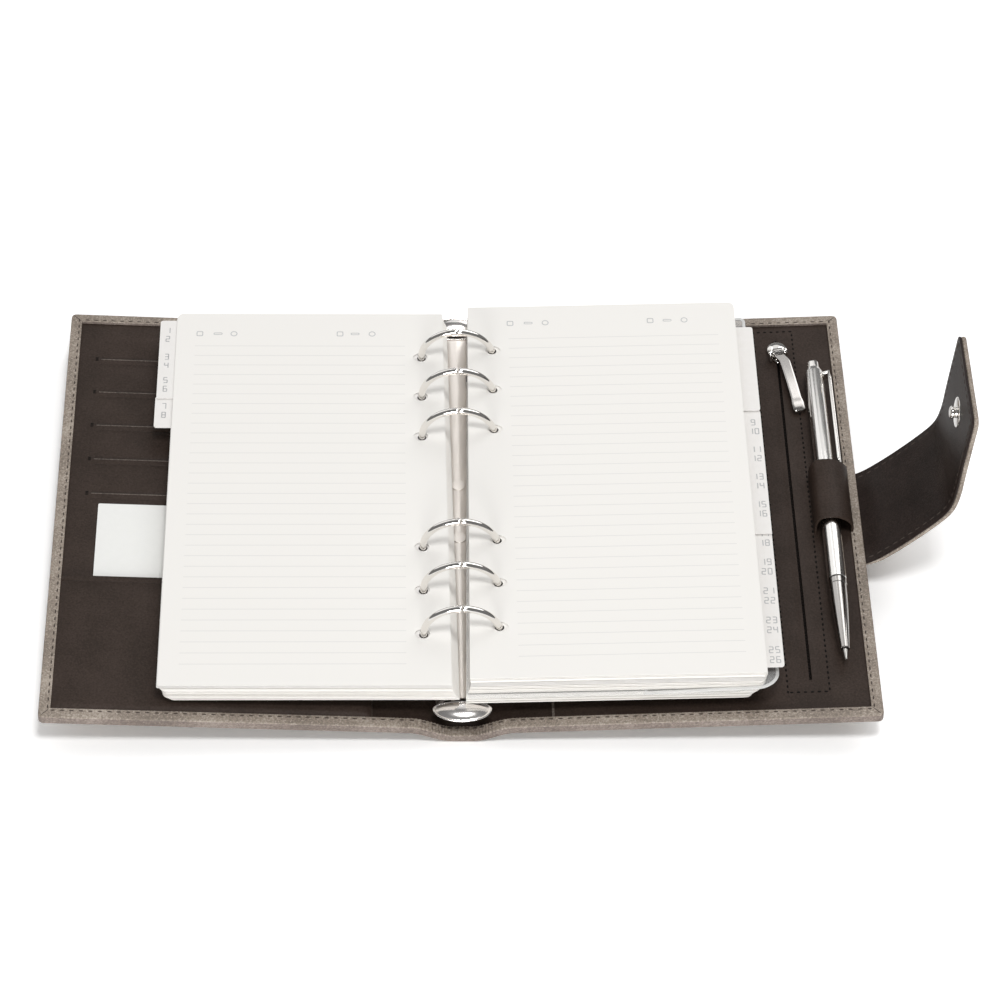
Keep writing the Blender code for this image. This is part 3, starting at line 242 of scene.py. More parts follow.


# %% [markdown]
# ## Leather
# The case is a smooth grey-brown leather with a fine pebble and a slow drift of tone; the
# inside is a darker one. Small cells make the pebbles and noise makes the drift, both read from
# object coordinates, so the grain stays on the leather when a cover folds. The valleys between
# the pebbles are painted darker as shade, and small pale specks are painted highlight glints.

# %% Mix the leather
def new_finish(name, colour, roughness, metallic=0.0):
    material = bpy.data.materials.new(name)
    material.use_nodes = True
    shader = material.node_tree.nodes["Principled BSDF"]
    shader.inputs["Base Color"].default_value = (*colour, 1.0)
    shader.inputs["Roughness"].default_value = roughness
    shader.inputs["Metallic"].default_value = metallic
    return material, material.node_tree, shader


def noise(tree, size_mm, detail=3.0):
    """Noise whose blotches are about size_mm across."""
    place = add_node(tree, "ShaderNodeTexCoord")
    texture = add_node(tree, "ShaderNodeTexNoise", Scale=1.0 / (size_mm * MM), Detail=detail)
    link(tree, place.outputs["Object"], texture.inputs["Vector"])
    return texture.outputs["Fac"]


def ramp(tree, source, stops):
    """Colours at places from 0 to 1 along a value."""
    node = add_node(tree, "ShaderNodeValToRGB")
    marks = node.color_ramp.elements
    while len(marks) < len(stops):
        marks.new(0.5)
    for mark, (at, colour) in zip(marks, stops):
        mark.position = at
        mark.color = (*colour, 1.0)
    link(tree, source, node.inputs["Fac"])
    return node.outputs["Color"]


def relief(tree, shader, height, depth_mm, strength=1.0):
    bump = add_node(tree, "ShaderNodeBump", Strength=strength, Distance=depth_mm * MM)
    link(tree, height, bump.inputs["Height"])
    link(tree, bump.outputs["Normal"], shader.inputs["Normal"])


def mixed(tree, operation, first, second):
    node = add_node(tree, "ShaderNodeMath", operation=operation)
    for socket, value in zip(node.inputs, (first, second)):
        if isinstance(value, float):
            socket.default_value = value
        else:
            link(tree, value, socket)
    return node.outputs["Value"]


DRIFT, FLECK, GLINT_SPECK, GRAIN, WAVE = 14.0, 0.7, 0.5, 0.35, 16.0   # millimetres across


def hide(name, pale, mid, dark, pebble_mm, depth_mm, roughness, shine, specks, wave):
    """Leather: a slow drift of tone, painted shade in the valleys between pebbles, painted
    highlight glints, soft waves.
    """
    material, tree, shader = new_finish(name, mid, roughness)
    calc = partial(mixed, tree)
    place = add_node(tree, "ShaderNodeTexCoord")
    pebbles = add_node(tree, "ShaderNodeTexVoronoi", Scale=1.0 / (pebble_mm * MM))
    pebbles.feature = "SMOOTH_F1"
    link(tree, place.outputs["Object"], pebbles.inputs["Vector"])
    valley = pebbles.outputs["Distance"]
    drift = calc("MULTIPLY", noise(tree, DRIFT), 0.6)
    fleck = calc("MULTIPLY", noise(tree, FLECK), 0.6)
    # Cell borders are painted darker: shade in the valleys between the pebbles.
    tone = calc("SUBTRACT", calc("ADD", drift, fleck), calc("MULTIPLY", valley, 0.3))
    # Pale specks from noise: painted highlight glints.
    glint_specks = calc("MAXIMUM", calc("SUBTRACT", noise(tree, GLINT_SPECK, 2.0), 0.58), 0.0)
    tone = calc("ADD", tone, calc("MULTIPLY", glint_specks, specks))
    colours = ramp(tree, tone, [(0.32, dark), (0.50, mid), (0.72, pale)])
    link(tree, colours, shader.inputs["Base Color"])
    grain = calc("SUBTRACT", calc("MULTIPLY", noise(tree, GRAIN, 4.0), 0.6), valley)
    waves = calc("MULTIPLY", noise(tree, WAVE, 2.0), wave)
    relief(tree, shader, calc("ADD", grain, waves), depth_mm, 0.8)
    shader.inputs["Specular IOR Level"].default_value = shine
    return material


CASE_HIDE = hide("case_leather", (0.47, 0.41, 0.35), (0.305, 0.255, 0.21),
                 (0.20, 0.165, 0.135), 0.7, 0.10, 0.5, 0.3, 2.6, 3.0)
# A darker, pinker copy of the case leather: painted shade for the upright sides.
SIDE_SHADE_HIDE = hide("case_side_painted_shade", (0.33, 0.28, 0.245), (0.225, 0.182, 0.158),
                 (0.15, 0.12, 0.103), 0.7, 0.08, 0.5, 0.3, 1.2, 2.0)
LINING_HIDE = hide("lining_leather", (0.050, 0.034, 0.027), (0.038, 0.025, 0.019),
                   (0.028, 0.018, 0.013), 0.6, 0.06, 0.5, 0.18, 0.5, 1.5)
STRAP_HIDE = hide("strap_lining", (0.033, 0.022, 0.018), (0.021, 0.0135, 0.011),
                  (0.014, 0.009, 0.007), 0.6, 0.06, 0.4, 0.18, 0.5, 2.0)
# A paler copy of the lining: painted highlight for the lit edges of slots and panels.
EDGE_HIGHLIGHT_HIDE = hide("painted_highlight_edge", (0.17, 0.14, 0.12), (0.11, 0.088, 0.074),
                 (0.06, 0.047, 0.04), 0.6, 0.04, 0.5, 0.3, 1.0, 1.0)
BOARD_CARD = new_finish("grey_board", (0.30, 0.27, 0.24), 0.9)[0]
print("leathers:", CASE_HIDE.name, SIDE_SHADE_HIDE.name, LINING_HIDE.name, STRAP_HIDE.name)


# %% [markdown]
# ## Thread and metal
# The stitches are fine thread with a faint relief. The metal is plated, and no polish is quite
# even, so noise changes its roughness a little from place to place. One chrome for everything
# would look like plastic: the rail is duller than the rings and tinted warm, a painted
# reflection of the cream page edges beside it, and the zip's pull and the pen's nose are darker;
# on the nose the darker metal is a painted reflection of the dark lining.

# %% Mix the thread and metal
def thread(name, colour, roughness, shine):
    material, tree, shader = new_finish(name, colour, roughness)
    shader.inputs["Specular IOR Level"].default_value = shine
    relief(tree, shader, noise(tree, 0.12), 0.03)
    return material


THREAD = thread("brown_thread", (0.055, 0.040, 0.032), 0.8, 0.5)
# Near-black beads: partly the thread, partly painted shade in the stitch holes.
DARK_THREAD_HOLE_SHADE = thread("black_thread_hole_shade", (0.008, 0.0065, 0.0055), 0.7, 0.1)


def metal(name, colour, roughness, smear):
    """Plated metal with a faint uneven polish."""
    material, tree, shader = new_finish(name, colour, roughness, 1.0)
    stops = [(0.3, (roughness,) * 3), (0.8, (roughness + smear,) * 3)]
    link(tree, ramp(tree, noise(tree, 6.0, 5.0), stops), shader.inputs["Roughness"])
    return material


CHROME = metal("polished_chrome", (0.86, 0.835, 0.80), 0.06, 0.05)
SATIN = metal("satin_chrome", (0.90, 0.87, 0.845), 0.16, 0.05)
STEEL = metal("brushed_steel", (0.60, 0.58, 0.55), 0.25, 0.1)
# Near black: painted shade for the zip teeth deep in the slit.
SLIT_SHADE_METAL = metal("zip_metal_painted_shade", (0.012, 0.010, 0.009), 0.5, 0.1)
PEN_METAL = metal("silver_pen", (0.90, 0.88, 0.85), 0.17, 0.05)
# Warm cream tint: painted reflection of the page edges beside the rail.
RAIL_METAL = metal("soft_chrome", (0.98, 0.92, 0.86), 0.32, 0.05)
# Darker chrome for the pull; on the pen's nose it is a painted reflection of the dark lining.
PULL_METAL = metal("dark_chrome", (0.47, 0.45, 0.43), 0.12, 0.05)
print("finishes so far:", len(bpy.data.materials))


# %% [markdown]
# ## Paper, ink and film
# Paper is almost even in tone. It gets only a faint mottle and a fine tooth, which keep it from
# looking like plastic. Clear film could be glass, but a pale glossy surface that is mostly
# clear renders faster and stays free of noise. Its welded rim is paler and less clear: partly the
# real double layer, partly a painted highlight along the film's edges.

# %% Mix the paper and film
def fibre(tree, shader):
    """Paper's fine tooth and faint sheen."""
    relief(tree, shader, noise(tree, 0.3, 4.0), 0.012, 0.5)
    shader.inputs["Specular IOR Level"].default_value = 0.25


def stock(name, colour, shade, roughness=0.75):
    """Paper: almost even, with a fine fibre."""
    material, tree, shader = new_finish(name, colour, roughness)
    tones = ramp(tree, noise(tree, 2.2, 5.0), [(0.3, shade), (0.7, colour)])
    link(tree, tones, shader.inputs["Base Color"])
    fibre(tree, shader)
    return material


PAPER = stock("page_paper", (0.90, 0.876, 0.838), (0.885, 0.860, 0.818))
INDEX_STOCK = stock("index_card", (0.87, 0.848, 0.825), (0.85, 0.828, 0.80), 0.6)
CARD_STOCK = stock("visiting_card", (0.87, 0.87, 0.845), (0.855, 0.855, 0.83), 0.6)
INK = new_finish("grey_ink", (0.50, 0.50, 0.50), 0.7)[0]
PALE_INK = new_finish("pale_ink", (0.58, 0.58, 0.58), 0.7)[0]
CLEAR, tree, shader = new_finish("clear_film", (0.82, 0.83, 0.83), 0.08)
shader.inputs["Alpha"].default_value = 0.22
relief(tree, shader, noise(tree, 12.0, 2.0), 0.5, 0.3)
CLEAR_WELD_HIGHLIGHT, tree, shader = new_finish("clear_weld_highlight", (0.86, 0.86, 0.85), 0.1)
shader.inputs["Alpha"].default_value = 0.7
print("finishes:", len(bpy.data.materials))


# %% [markdown]
# ## Ways to make a piece
# Most of the planner is thin sheet, cut into stations and bent. These first helpers cut, raise,
# round and bend a mesh, and `piece` turns the finished mesh into an object that moves with its
# body. Others come where they are first needed.

# %% Set up the bench
def piece(name, bm, finish, body=None, nodes=(), sharp=35.0):
    """Finish a mesh made in millimetres; a piece without a body stays where it is made."""
    bmesh.ops.recalc_face_normals(bm, faces=bm.faces)
    bmesh.ops.scale(bm, vec=(MM, MM, MM), verts=bm.verts)
    mesh = bpy.data.meshes.new(name)
    bm.to_mesh(mesh)
    bm.free()
    mesh.shade_smooth()
    mesh.set_sharp_from_angle(angle=radians(sharp))
    mesh.materials.append(finish)
    obj = bpy.data.objects.new(name, mesh)
    scene.collection.objects.link(obj)
    if body:
        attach(obj, body)
    if nodes:
        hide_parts(*nodes)
    print(f"{name}: {len(mesh.polygons)} faces")
    return obj


def cut(bm, axis, places):
    """Cut a mesh across an axis (0, 1 or 2) at each place."""
    normal = Vector((axis == 0, axis == 1, axis == 2))
    for at in places:
        everything = bm.verts[:] + bm.edges[:] + bm.faces[:]
        bmesh.ops.bisect_plane(bm, geom=everything, dist=1e-5, plane_co=normal * at,
                               plane_no=normal)


def stations(start, end, step):
    """Places between two ends, about a step apart."""
    count = max(2, round(abs(end - start) / step))
    return [start + (end - start) * i / count for i in range(1, count)]


def move(bm, where):
    """Send every vertex to where(x, y, z)."""
    for vert in bm.verts:
        vert.co = where(*vert.co)


def new_verts(made):
    """The vertices among what an operator made."""
    return [item for item in made["geom"] if isinstance(item, bmesh.types.BMVert)]


def raise_up(bm, faces, height):
    """Extrude faces straight up, or down."""
    grown = bmesh.ops.extrude_face_region(bm, geom=faces)
    bmesh.ops.translate(bm, vec=(0, 0, height), verts=new_verts(grown))


def bevel(bm, edges, width, segments):
    bmesh.ops.bevel(bm, geom=edges, offset=width, offset_type="OFFSET", segments=segments,
                    profile=0.5, affect="EDGES", clamp_overlap=True, material=-1)


def ease(t):
    t = min(1.0, max(0.0, t))
    return t * t * (3.0 - 2.0 * t)


def arc(centre, radius, start, end, steps):
    angles = [start + (end - start) * i / steps for i in range(steps + 1)]
    return [(centre[0] + radius * cos(a), centre[1] + radius * sin(a)) for a in angles]


def on_cover(side):
    """Matrix from a cover's own (u outwards, y, w up from its outer face) to the open book."""
    tilt = Matrix.Rotation(-side * COVER_TILT, 4, "Y")
    lay = Matrix.Translation((side * HINGE.x, 0, HINGE.z)) @ tilt
    return lay @ Matrix.Scale(side, 4, (1, 0, 0)) @ Matrix.Translation((0, 0, -AXIS_W))


print("bench ready")


# %% [markdown]
# ## The leather case
# One hide wraps both covers and the spine, and its edges are turned over onto the inside as a
# narrow band. It could be two covers and a strip, but the folds would then show gaps. So each
# half, from the middle of the spine to the fore edge, is one skin that bends across the fold.
# Over the spine the turned edge is gathered, so it gets fine ripples. The narrow sides get a
# darker copy of the leather, painted shade on the faces that stand upright.

# %% Wrap the case
CORNER_R = 1.8
RIM = 0.5
TURN_ROUND = 0.35                          # rounding of the turned edge's inner side
FORE_EDGE = HINGE.x + COVER_REACH
OVERRUN = 5.0                              # cut this far past the middle, then trimmed to it
WELL_START = -3.0                          # the lining's well starts inside the overrun
FOLD_REACH = 32.0                          # the leather bends within this of the middle
GATHER_PITCH = 1.1
GATHER_DEPTH = 0.35
GATHER_START = 12.0                        # the ripples fade from here to the fold's end
SAME = 0.01


def spine_height(x):
    """Underside of the case over the spine, above the table."""
    return SPINE_RISE * ease((abs(x) - SPINE_FLAT) / (HINGE.x - SPINE_FLAT))


def lay_along(side, s, y, w):
    """From distance along the half case, s, to the open book."""
    if s > HINGE.x:
        return on_cover(side) @ Vector((s - HINGE.x, y, w))
    slope = (spine_height(s + 0.05) - spine_height(s - 0.05)) / 0.1
    lean = Vector((-slope, 0, 1)).normalized()
    return Vector((side * (s + lean.x * w), y, spine_height(s) + lean.z * w))


def half_case(side):
    bm = bmesh.new()
    inner = HALF - BAND
    fore_band = FORE_EDGE - BAND
    outline = [(-OVERRUN, -HALF)]
    outline += arc((FORE_EDGE - CORNER_R, CORNER_R - HALF), CORNER_R, -pi / 2, 0.0, 5)
    outline += arc((FORE_EDGE - CORNER_R, HALF - CORNER_R), CORNER_R, 0.0, pi / 2, 5)
    outline += [(-OVERRUN, HALF)]
    bm.faces.new([bm.verts.new((x, y, 0.0)) for x, y in outline])
    raise_up(bm, bm.faces[:], COVER_THICK)
    rim = [e for e in bm.edges if abs(e.verts[0].co.z - e.verts[1].co.z) < SAME
           and max(v.co.x for v in e.verts) > 1.0 - OVERRUN]
    bevel(bm, rim, RIM, 4)
    cut(bm, 0, [WELL_START, fore_band] + stations(WELL_START, FOLD_REACH, GATHER_PITCH / 4)
        + stations(FOLD_REACH, fore_band, 4.0))
    cut(bm, 1, [-inner, inner] + stations(-HALF + RIM, -inner, 0.7)
        + stations(inner, HALF - RIM, 0.7) + stations(-inner, inner, 8.0))
    well = [f for f in bm.faces if f.normal.z > 0.9 and abs(f.calc_center_median().y) < inner
            and WELL_START < f.calc_center_median().x < fore_band]
    raise_up(bm, well, LEATHER - COVER_THICK)
    bmesh.ops.delete(bm, geom=well, context="FACES")
    turned_edge = [e for e in bm.edges if e.is_manifold and e.calc_face_angle() > 1.2
                   and min(v.co.z for v in e.verts) > COVER_THICK - SAME]
    bevel(bm, turned_edge, TURN_ROUND, 2)
    bmesh.ops.bisect_plane(bm, geom=bm.verts[:] + bm.edges[:] + bm.faces[:], dist=1e-5,
                           plane_co=(0, 0, 0), plane_no=(1, 0, 0), clear_inner=True)
    bmesh.ops.holes_fill(bm, edges=[e for e in bm.edges if e.is_boundary], sides=0)

    def shape(s, y, w):
        if w > COVER_THICK - 0.8 and abs(y) > inner - 0.5:
            fade = 1.0 - ease((s - GATHER_START) / (FOLD_REACH - GATHER_START))
            w -= GATHER_DEPTH * (0.5 + 0.5 * cos(2 * pi * s / GATHER_PITCH)) * fade
        return lay_along(side, s, y, w)

    move(bm, shape)
    return bm


front_case = piece("front_case_leather", half_case(-1), CASE_HIDE,
                   nodes=("front_leather", "spine_leather"))
back_case = piece("back_case_leather", half_case(1), CASE_HIDE,
                  nodes=("back_leather",))
# Faces that stand upright take the darker copy, painted shade.
for case in (front_case, back_case):
    case.data.materials.append(SIDE_SHADE_HIDE)
    for polygon in case.data.polygons:
        if abs(polygon.normal.z) < 0.5:
            polygon.material_index = 1
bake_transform(front_case)
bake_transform(back_case)


# %% [markdown]
# ## The stitching
# A row of dark stitches holds the turned edge down, close to its inner side. Each stitch is a
# small flattened bead laid along the row, and a long thin one marks the mitred fold at each
# corner. All the beads of a half are one piece, and it bends with the leather under it.

# %% Stitch the band
COVER = {-1: "front_cover", 1: "back_cover"}
SIDES = ((-1, "front"), (1, "back"))
STITCH_PITCH = 3.1
STITCH = (1.7, 0.5, 0.3)
STITCH_INSET = 3.0
MITRE = (BAND * 1.15, 0.28, 0.12)


def bead(bm, at, along, normal, size):
    """One stitch: a bead with its length along the row and sunk half into the leather."""
    along = along.normalized()
    across = normal.cross(along).normalized()
    frame_of = Matrix((along, across, along.cross(across))).transposed().to_4x4()
    stretch = Matrix.Diagonal((*size, 1.0))
    bmesh.ops.create_uvsphere(bm, u_segments=8, v_segments=5, radius=0.5,
                              matrix=Matrix.Translation(at) @ frame_of @ stretch)


def row(points, pitch):
    """Evenly spaced places along a line of points, with the direction there."""
    places = []
    left = pitch / 2
    for a, b in zip(points, points[1:]):
        run = (b - a).length
        while left < run:
            places.append((a + (b - a) * (left / run), b - a))
            left += pitch
        left -= run
    return places


def sew(bm, path, pitch, size, lay, start=0.0, end=1000.0):
    """Beads along a flat path; lay(x, y, z) bends the flat leather into the open book."""
    for at, along in row(path, pitch):
        if start <= at.x < end:
            spot = lay(*at)
            step = lay(*(at + along.normalized() * 0.2)) - spot
            rise = lay(at.x, at.y, at.z + 1.0) - spot
            bead(bm, spot, step, rise.normalized(), size)


def stitch_half(side):
    bm = bmesh.new()
    inset = HALF - STITCH_INSET
    fore = FORE_EDGE - STITCH_INSET
    path = [Vector((x, y, COVER_THICK))
            for x, y in ((0, -inset), (fore, -inset), (fore, inset), (0, inset))]
    sew(bm, path, STITCH_PITCH, STITCH, partial(lay_along, side))
    for y in (-1, 1):
        mitre = Vector((side, y, 0)) * BAND / 2
        middle = lay_along(side, FORE_EDGE - BAND / 2, y * (HALF - BAND / 2), COVER_THICK)
        bead(bm, middle, mitre, Vector((0, 0, 1)), MITRE)
    return bm


for side, label in SIDES:
    stitches = piece(f"{label}_stitches", stitch_half(side), THREAD)
    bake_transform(stitches)


# %% [markdown]
# ## The dark lining
# Inside, a thinner dark leather covers the spine and the folds and runs under the cover panels.
# It is a grid laid along the same path as the case and thickened downwards, so it bends with
# the fold.

# %% Line the spine and folds
def block(low, high):
    bm = bmesh.new()
    low = Vector(low)
    high = Vector(high)
    middle = (low + high) / 2
    made = bmesh.ops.create_cube(bm, size=1.0, matrix=Matrix.Translation(middle))
    bmesh.ops.scale(bm, vec=high - low, verts=made["verts"], space=Matrix.Translation(-middle))
    return bm


LINING = 0.6
TUCK = 0.3                                 # lining runs this far under the band
LINING_END = HINGE.x + 12.9
FOLD_W = 1.45                              # underside above the case's outer face
BOARD_LIFT = 0.8                           # more over the board in the spine
WRINKLE = 0.12
WRINKLE_PITCH = 4.2


def fold_lining(side):
    edge = HALF - BAND + TUCK
    bm = block((0.0, -edge, FOLD_W), (LINING_END, edge, FOLD_W + LINING))
    cut(bm, 0, stations(0.0, LINING_END, 0.9))
    cut(bm, 1, stations(-edge, edge, 6.0))

    def drape(s, y, w):
        wrinkle = WRINKLE * sin(2 * pi * (s / WRINKLE_PITCH + 0.25 * sin(y / 23.0)))
        wrinkle *= ease((s - 9.0) / 4.0)
        wrinkle *= 1.0 - ease((s - 24.0) / 5.0)
        return lay_along(side, s, y, w + wrinkle + BOARD_LIFT * (1.0 - ease((s - 5.0) / 4.0)))

    move(bm, drape)
    return bm


for side, label, nodes in ((-1, "front", ("spine_lining", "front_hinge_lining")),
                           (1, "back", ("back_hinge_lining",))):
    lining = piece(f"{label}_fold_lining", fold_lining(side), LINING_HIDE, nodes=nodes)
    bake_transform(lining)


# %% [markdown]
# ## On a cover
# What lies on a cover is made flat, in the cover's own lengths, and is then laid on it. The
# open book tilts each cover a little, so this is simpler than working in tilted places from the
# start. The left cover mirrors the right one, and a mirrored mesh is inside out until its faces
# are reversed.

# %% Lay things on a cover
def soften(bm, width, segments=2, angle=40.0):
    """Round the edges that turn more than an angle."""
    edges = [e for e in bm.edges if e.is_manifold and e.calc_face_angle() > radians(angle)]
    bevel(bm, edges, width, segments)


def gather(parts):
    """Join several meshes into one."""
    whole = bmesh.new()
    for part in parts:
        held = bpy.data.meshes.new("held")
        part.to_mesh(held)
        part.free()
        whole.from_mesh(held)
        bpy.data.meshes.remove(held)
    return whole


def carry(bm, matrix):
    bmesh.ops.transform(bm, matrix=matrix, verts=bm.verts)
    return bm


def lay_on_cover(bm, side):
    carry(bm, on_cover(side))
    if side < 0:
        bmesh.ops.reverse_faces(bm, faces=bm.faces)
    return bm


def cover_piece(name, bm, side, finish, nodes=(), body=None):
    """Finish a mesh made in a cover's own millimetres; it rides on the cover or another body."""
    return piece(name, lay_on_cover(bm, side), finish, body or COVER[side], nodes)


print("covers lie at", round(COVER_TILT, 3), "rad")


# %% [markdown]
# ## The front panel and its card slots
# The inside of the front cover has five card slots. Each is a cut whose near side stands up a
# little as a lip, with a pressed crease just below it. A real slot is a layered strip; here one
# sheet is pressed into that shape, because only the lip and its shadow can be seen.

# %% Press the card slots
PANEL_W = 2.0
PANEL_TOP = PANEL_W + LINING
PANEL_START = 12.0
PANEL_END = COVER_REACH - BAND + TUCK
PANEL_SIDE = HALF - BAND + TUCK
SLOT_YS = [70.8 - 16.0 * i for i in range(5)]
SLOT_OUT = 110.7
SLOT_IN = SLOT_OUT - 92.0
SLOT_SWELL = 9.0                           # the lip rises over this much of the panel
SLOT_LIP = 0.2
SLOT_SHADE = 0.45                          # depth of the cut behind the lip,
SLOT_WIDE = 1.3                            # and how far it runs out
CREASE = 0.16
CREASE_DROP = 2.4
SLOT_CUTS = (-9, -6.5, -4.5, -2.75, -2.4, -2.05, -1.2, -0.5, -0.03, 0.03, 0.35, 0.8, 1.3)


def slot_press(u, y):
    """How far the front panel is raised or pressed at one place."""
    height = 0.0
    for slot_y in SLOT_YS:
        d = y - slot_y
        along = ease((SLOT_OUT - u) / 1.0) * ease((u - SLOT_IN) / 2.0)
        if -SLOT_SWELL < d < 0.0:
            height += along * SLOT_LIP * ease((d + SLOT_SWELL) / SLOT_SWELL)
            height -= along * CREASE * max(0.0, 1.0 - abs(d + CREASE_DROP) / 0.35)
        elif 0.0 < d < SLOT_WIDE:
            height -= along * SLOT_SHADE * (1.0 - ease(d / SLOT_WIDE))
    return height


def panel(across, along, press):
    """A cover's inner panel, cut at stations both ways and pressed from above."""
    bm = block((PANEL_START, -PANEL_SIDE, PANEL_W), (PANEL_END, PANEL_SIDE, PANEL_TOP))
    cut(bm, 0, across)
    cut(bm, 1, along)
    for vert in bm.verts:
        if vert.co.z > PANEL_TOP - SAME:
            vert.co.z += press(vert.co.x, vert.co.y)
    return bm


across = stations(PANEL_START, PANEL_END, 3.0) + [SLOT_OUT - 1.0, SLOT_OUT - 0.5, SLOT_OUT]
along = [slot_y + d for slot_y in SLOT_YS for d in SLOT_CUTS]
along += stations(-PANEL_SIDE, SLOT_YS[-1] - SLOT_SWELL, 6.0)
cover_piece("front_panel_lining", panel(across, along, slot_press), -1, LINING_HIDE,
            ("front_panel",))

EDGE = 0.45
TACK = (1.3, 0.45, 0.3)
UPWARDS = Vector((0, 0, 1))
# Along each lip lies a thin strip of paler leather, a painted highlight where the lip's edge
# catches the light.
slot_edges = []
tacks = bmesh.new()
for slot_y in SLOT_YS:
    strip = block((SLOT_IN + 2.0, slot_y - EDGE, PANEL_TOP + 0.08),
                  (SLOT_OUT - 1.0, slot_y - 0.02, PANEL_TOP + 0.23))
    soften(strip, 0.08, 2)
    slot_edges.append(strip)
    for shift in (-0.6, 0.0, 0.6):
        spot = Vector((SLOT_OUT + 0.5, slot_y + shift, PANEL_TOP))
        bead(tacks, spot, Vector((1, 0, 0)), UPWARDS, TACK)
cover_piece("slot_painted_highlight_edges", gather(slot_edges), -1, EDGE_HIGHLIGHT_HIDE)
cover_piece("slot_end_tacks", tacks, -1, DARK_THREAD_HOLE_SHADE)


# %% [markdown]
# ## The pocket and the blank card
# Below the slots a flat pocket is sewn on three sides. It is a thin roof with its sewn sides
# pressed down to the panel, so that the card can really slide out. The card is an outline,
# filled and thickened, as every sheet will be. It carries no print.

# %% Sew the pocket
def rounded(x0, y0, x1, y1, radius, steps=5):
    """Outline of a rectangle with round corners."""
    corners = [(x1, y1, 0.0), (x0, y1, pi / 2), (x0, y0, pi), (x1, y0, 1.5 * pi)]
    outline = []
    for x, y, start in corners:
        centre = (x - radius if x == x1 else x + radius,
                  y - radius if y == y1 else y + radius)
        outline += arc(centre, radius, start, start + pi / 2, steps)
    return outline


def loop_of(bm, outline, z=0.0):
    verts = [bm.verts.new((x, y, z)) for x, y in outline]
    return [bm.edges.new((a, b)) for a, b in zip(verts, verts[1:] + verts[:1])]


def cut_sheet(outline, holes, z0, z1):
    """A flat sheet with holes, as a closed body."""
    bm = bmesh.new()
    edges = loop_of(bm, outline, z0)
    for hole in holes:
        edges += loop_of(bm, hole, z0)
    bmesh.ops.triangle_fill(bm, use_beauty=True, use_dissolve=False, edges=edges)
    raise_up(bm, bm.faces[:], z1 - z0)
    return bm


POCKET_MOUTH = span("front_pocket")[1].y
ROOF_W = 3.35
SEAM = 2.6
SEAM_DROP = 0.62
HEM = 2.4                                  # a pressed line this far below the mouth
pocket = block((PANEL_START, -PANEL_SIDE, ROOF_W), (PANEL_END, POCKET_MOUTH, ROOF_W + LINING))
soften(pocket, 0.25)
seams = (PANEL_START + SEAM, PANEL_END - SEAM)
cut(pocket, 0, stations(PANEL_START, seams[0], 0.65) + stations(seams[1], PANEL_END, 0.65)
    + [*seams] + stations(*seams, 4.0))
near_seam = -PANEL_SIDE + SEAM
cut(pocket, 1, stations(-PANEL_SIDE, near_seam, 0.65) + [near_seam]
    + [POCKET_MOUTH - d for d in (HEM - 0.3, HEM, HEM + 0.3)]
    + stations(near_seam, POCKET_MOUTH - 3.0, 4.0))
for vert in pocket.verts:
    x, y, z = vert.co
    rim_gap = min(x - PANEL_START, PANEL_END - x, y + PANEL_SIDE)
    vert.co.z -= SEAM_DROP * (1.0 - ease(rim_gap / SEAM))
    if z > ROOF_W + LINING / 2:
        vert.co.z -= 0.14 * max(0.0, 1.0 - abs(POCKET_MOUTH - y - HEM) / 0.3)
cover_piece("front_pocket_leather", pocket, -1, LINING_HIDE, ("front_pocket",))

CARD_W = 2.85
CARD = 0.25
card = cut_sheet(rounded(51.9, -83.3, 106.9, 1.7, 0.6, 3), [], CARD_W, CARD_W + CARD)
cover_piece("blank_card", card, -1, CARD_STOCK, ("business_card",), body="card")


# %% [markdown]
# ## The snap socket
# The strap snaps into a ring on the outside of the front cover. It is turned metal, a profile
# spun about a line: a flange with a rolled rim and a bore for the stud.

# %% Turn the socket
def turned(profile, sides=48):
    """Spin (radius, height) points about the Z axis."""
    bm = bmesh.new()
    verts = [bm.verts.new((r, 0.0, z)) for r, z in profile]
    edges = [bm.edges.new(pair) for pair in zip(verts, verts[1:])]
    bmesh.ops.spin(bm, geom=verts + edges, cent=(0, 0, 0), axis=(0, 0, 1), angle=2 * pi,
                   steps=sides, use_merge=True)
    bmesh.ops.remove_doubles(bm, verts=bm.verts, dist=0.0005)
    return bm


def nudge(bm, x, y, z):
    bmesh.ops.translate(bm, vec=(x, y, z), verts=bm.verts)


SNAP_U = 100.2
STRAP_Y = -5.3
SOCKET_BORE = 2.65
SOCKET_R = 6.5
SOCKET_BARREL = 4.2
SOCKET_TOP = 1.75
SOCKET_PROUD = 0.38
BORE_ROUND = 0.3
roll = SOCKET_PROUD / 2
socket = [(SOCKET_BORE, SOCKET_TOP), (SOCKET_BARREL, SOCKET_TOP), (SOCKET_BARREL, -0.02)]
socket += arc((SOCKET_R - roll, -roll - 0.01), roll, pi / 2, -pi / 2, 6)
socket += arc((SOCKET_BORE + BORE_ROUND, BORE_ROUND - SOCKET_PROUD), BORE_ROUND, 1.5 * pi, pi, 4)
socket = turned(socket + [(SOCKET_BORE, SOCKET_TOP)], 64)
nudge(socket, SNAP_U, STRAP_Y, 0)
cover_piece("snap_socket_ring", socket, -1, CHROME, ("snap_socket",))


# %% [markdown]
# ## The back panel and its zip pocket
# A long zip is let into the inside of the back cover. From above only a narrow slit shows
# between two raised leather lips, with metal teeth deep inside and a rectangle of stitches
# round it. The teeth and a strip laid under them are near black, painted shade in the slit.

# %% Let in the zip
ZIP_U = 98.5
ZIP_NEAR = -76.0
ZIP_FAR = 82.0
SLIT_HALF = 0.42


def zip_press(u, y):
    """Raised lips each side of the slit, and the slit itself."""
    along = ease((ZIP_FAR - y) / 1.2) * ease((y - ZIP_NEAR) / 1.2)
    d = abs(u - ZIP_U)
    lip = 0.2 * (1.0 - ease((d - 0.5) / 2.4))
    return along * (lip if d > SLIT_HALF + 0.02 else -0.55)


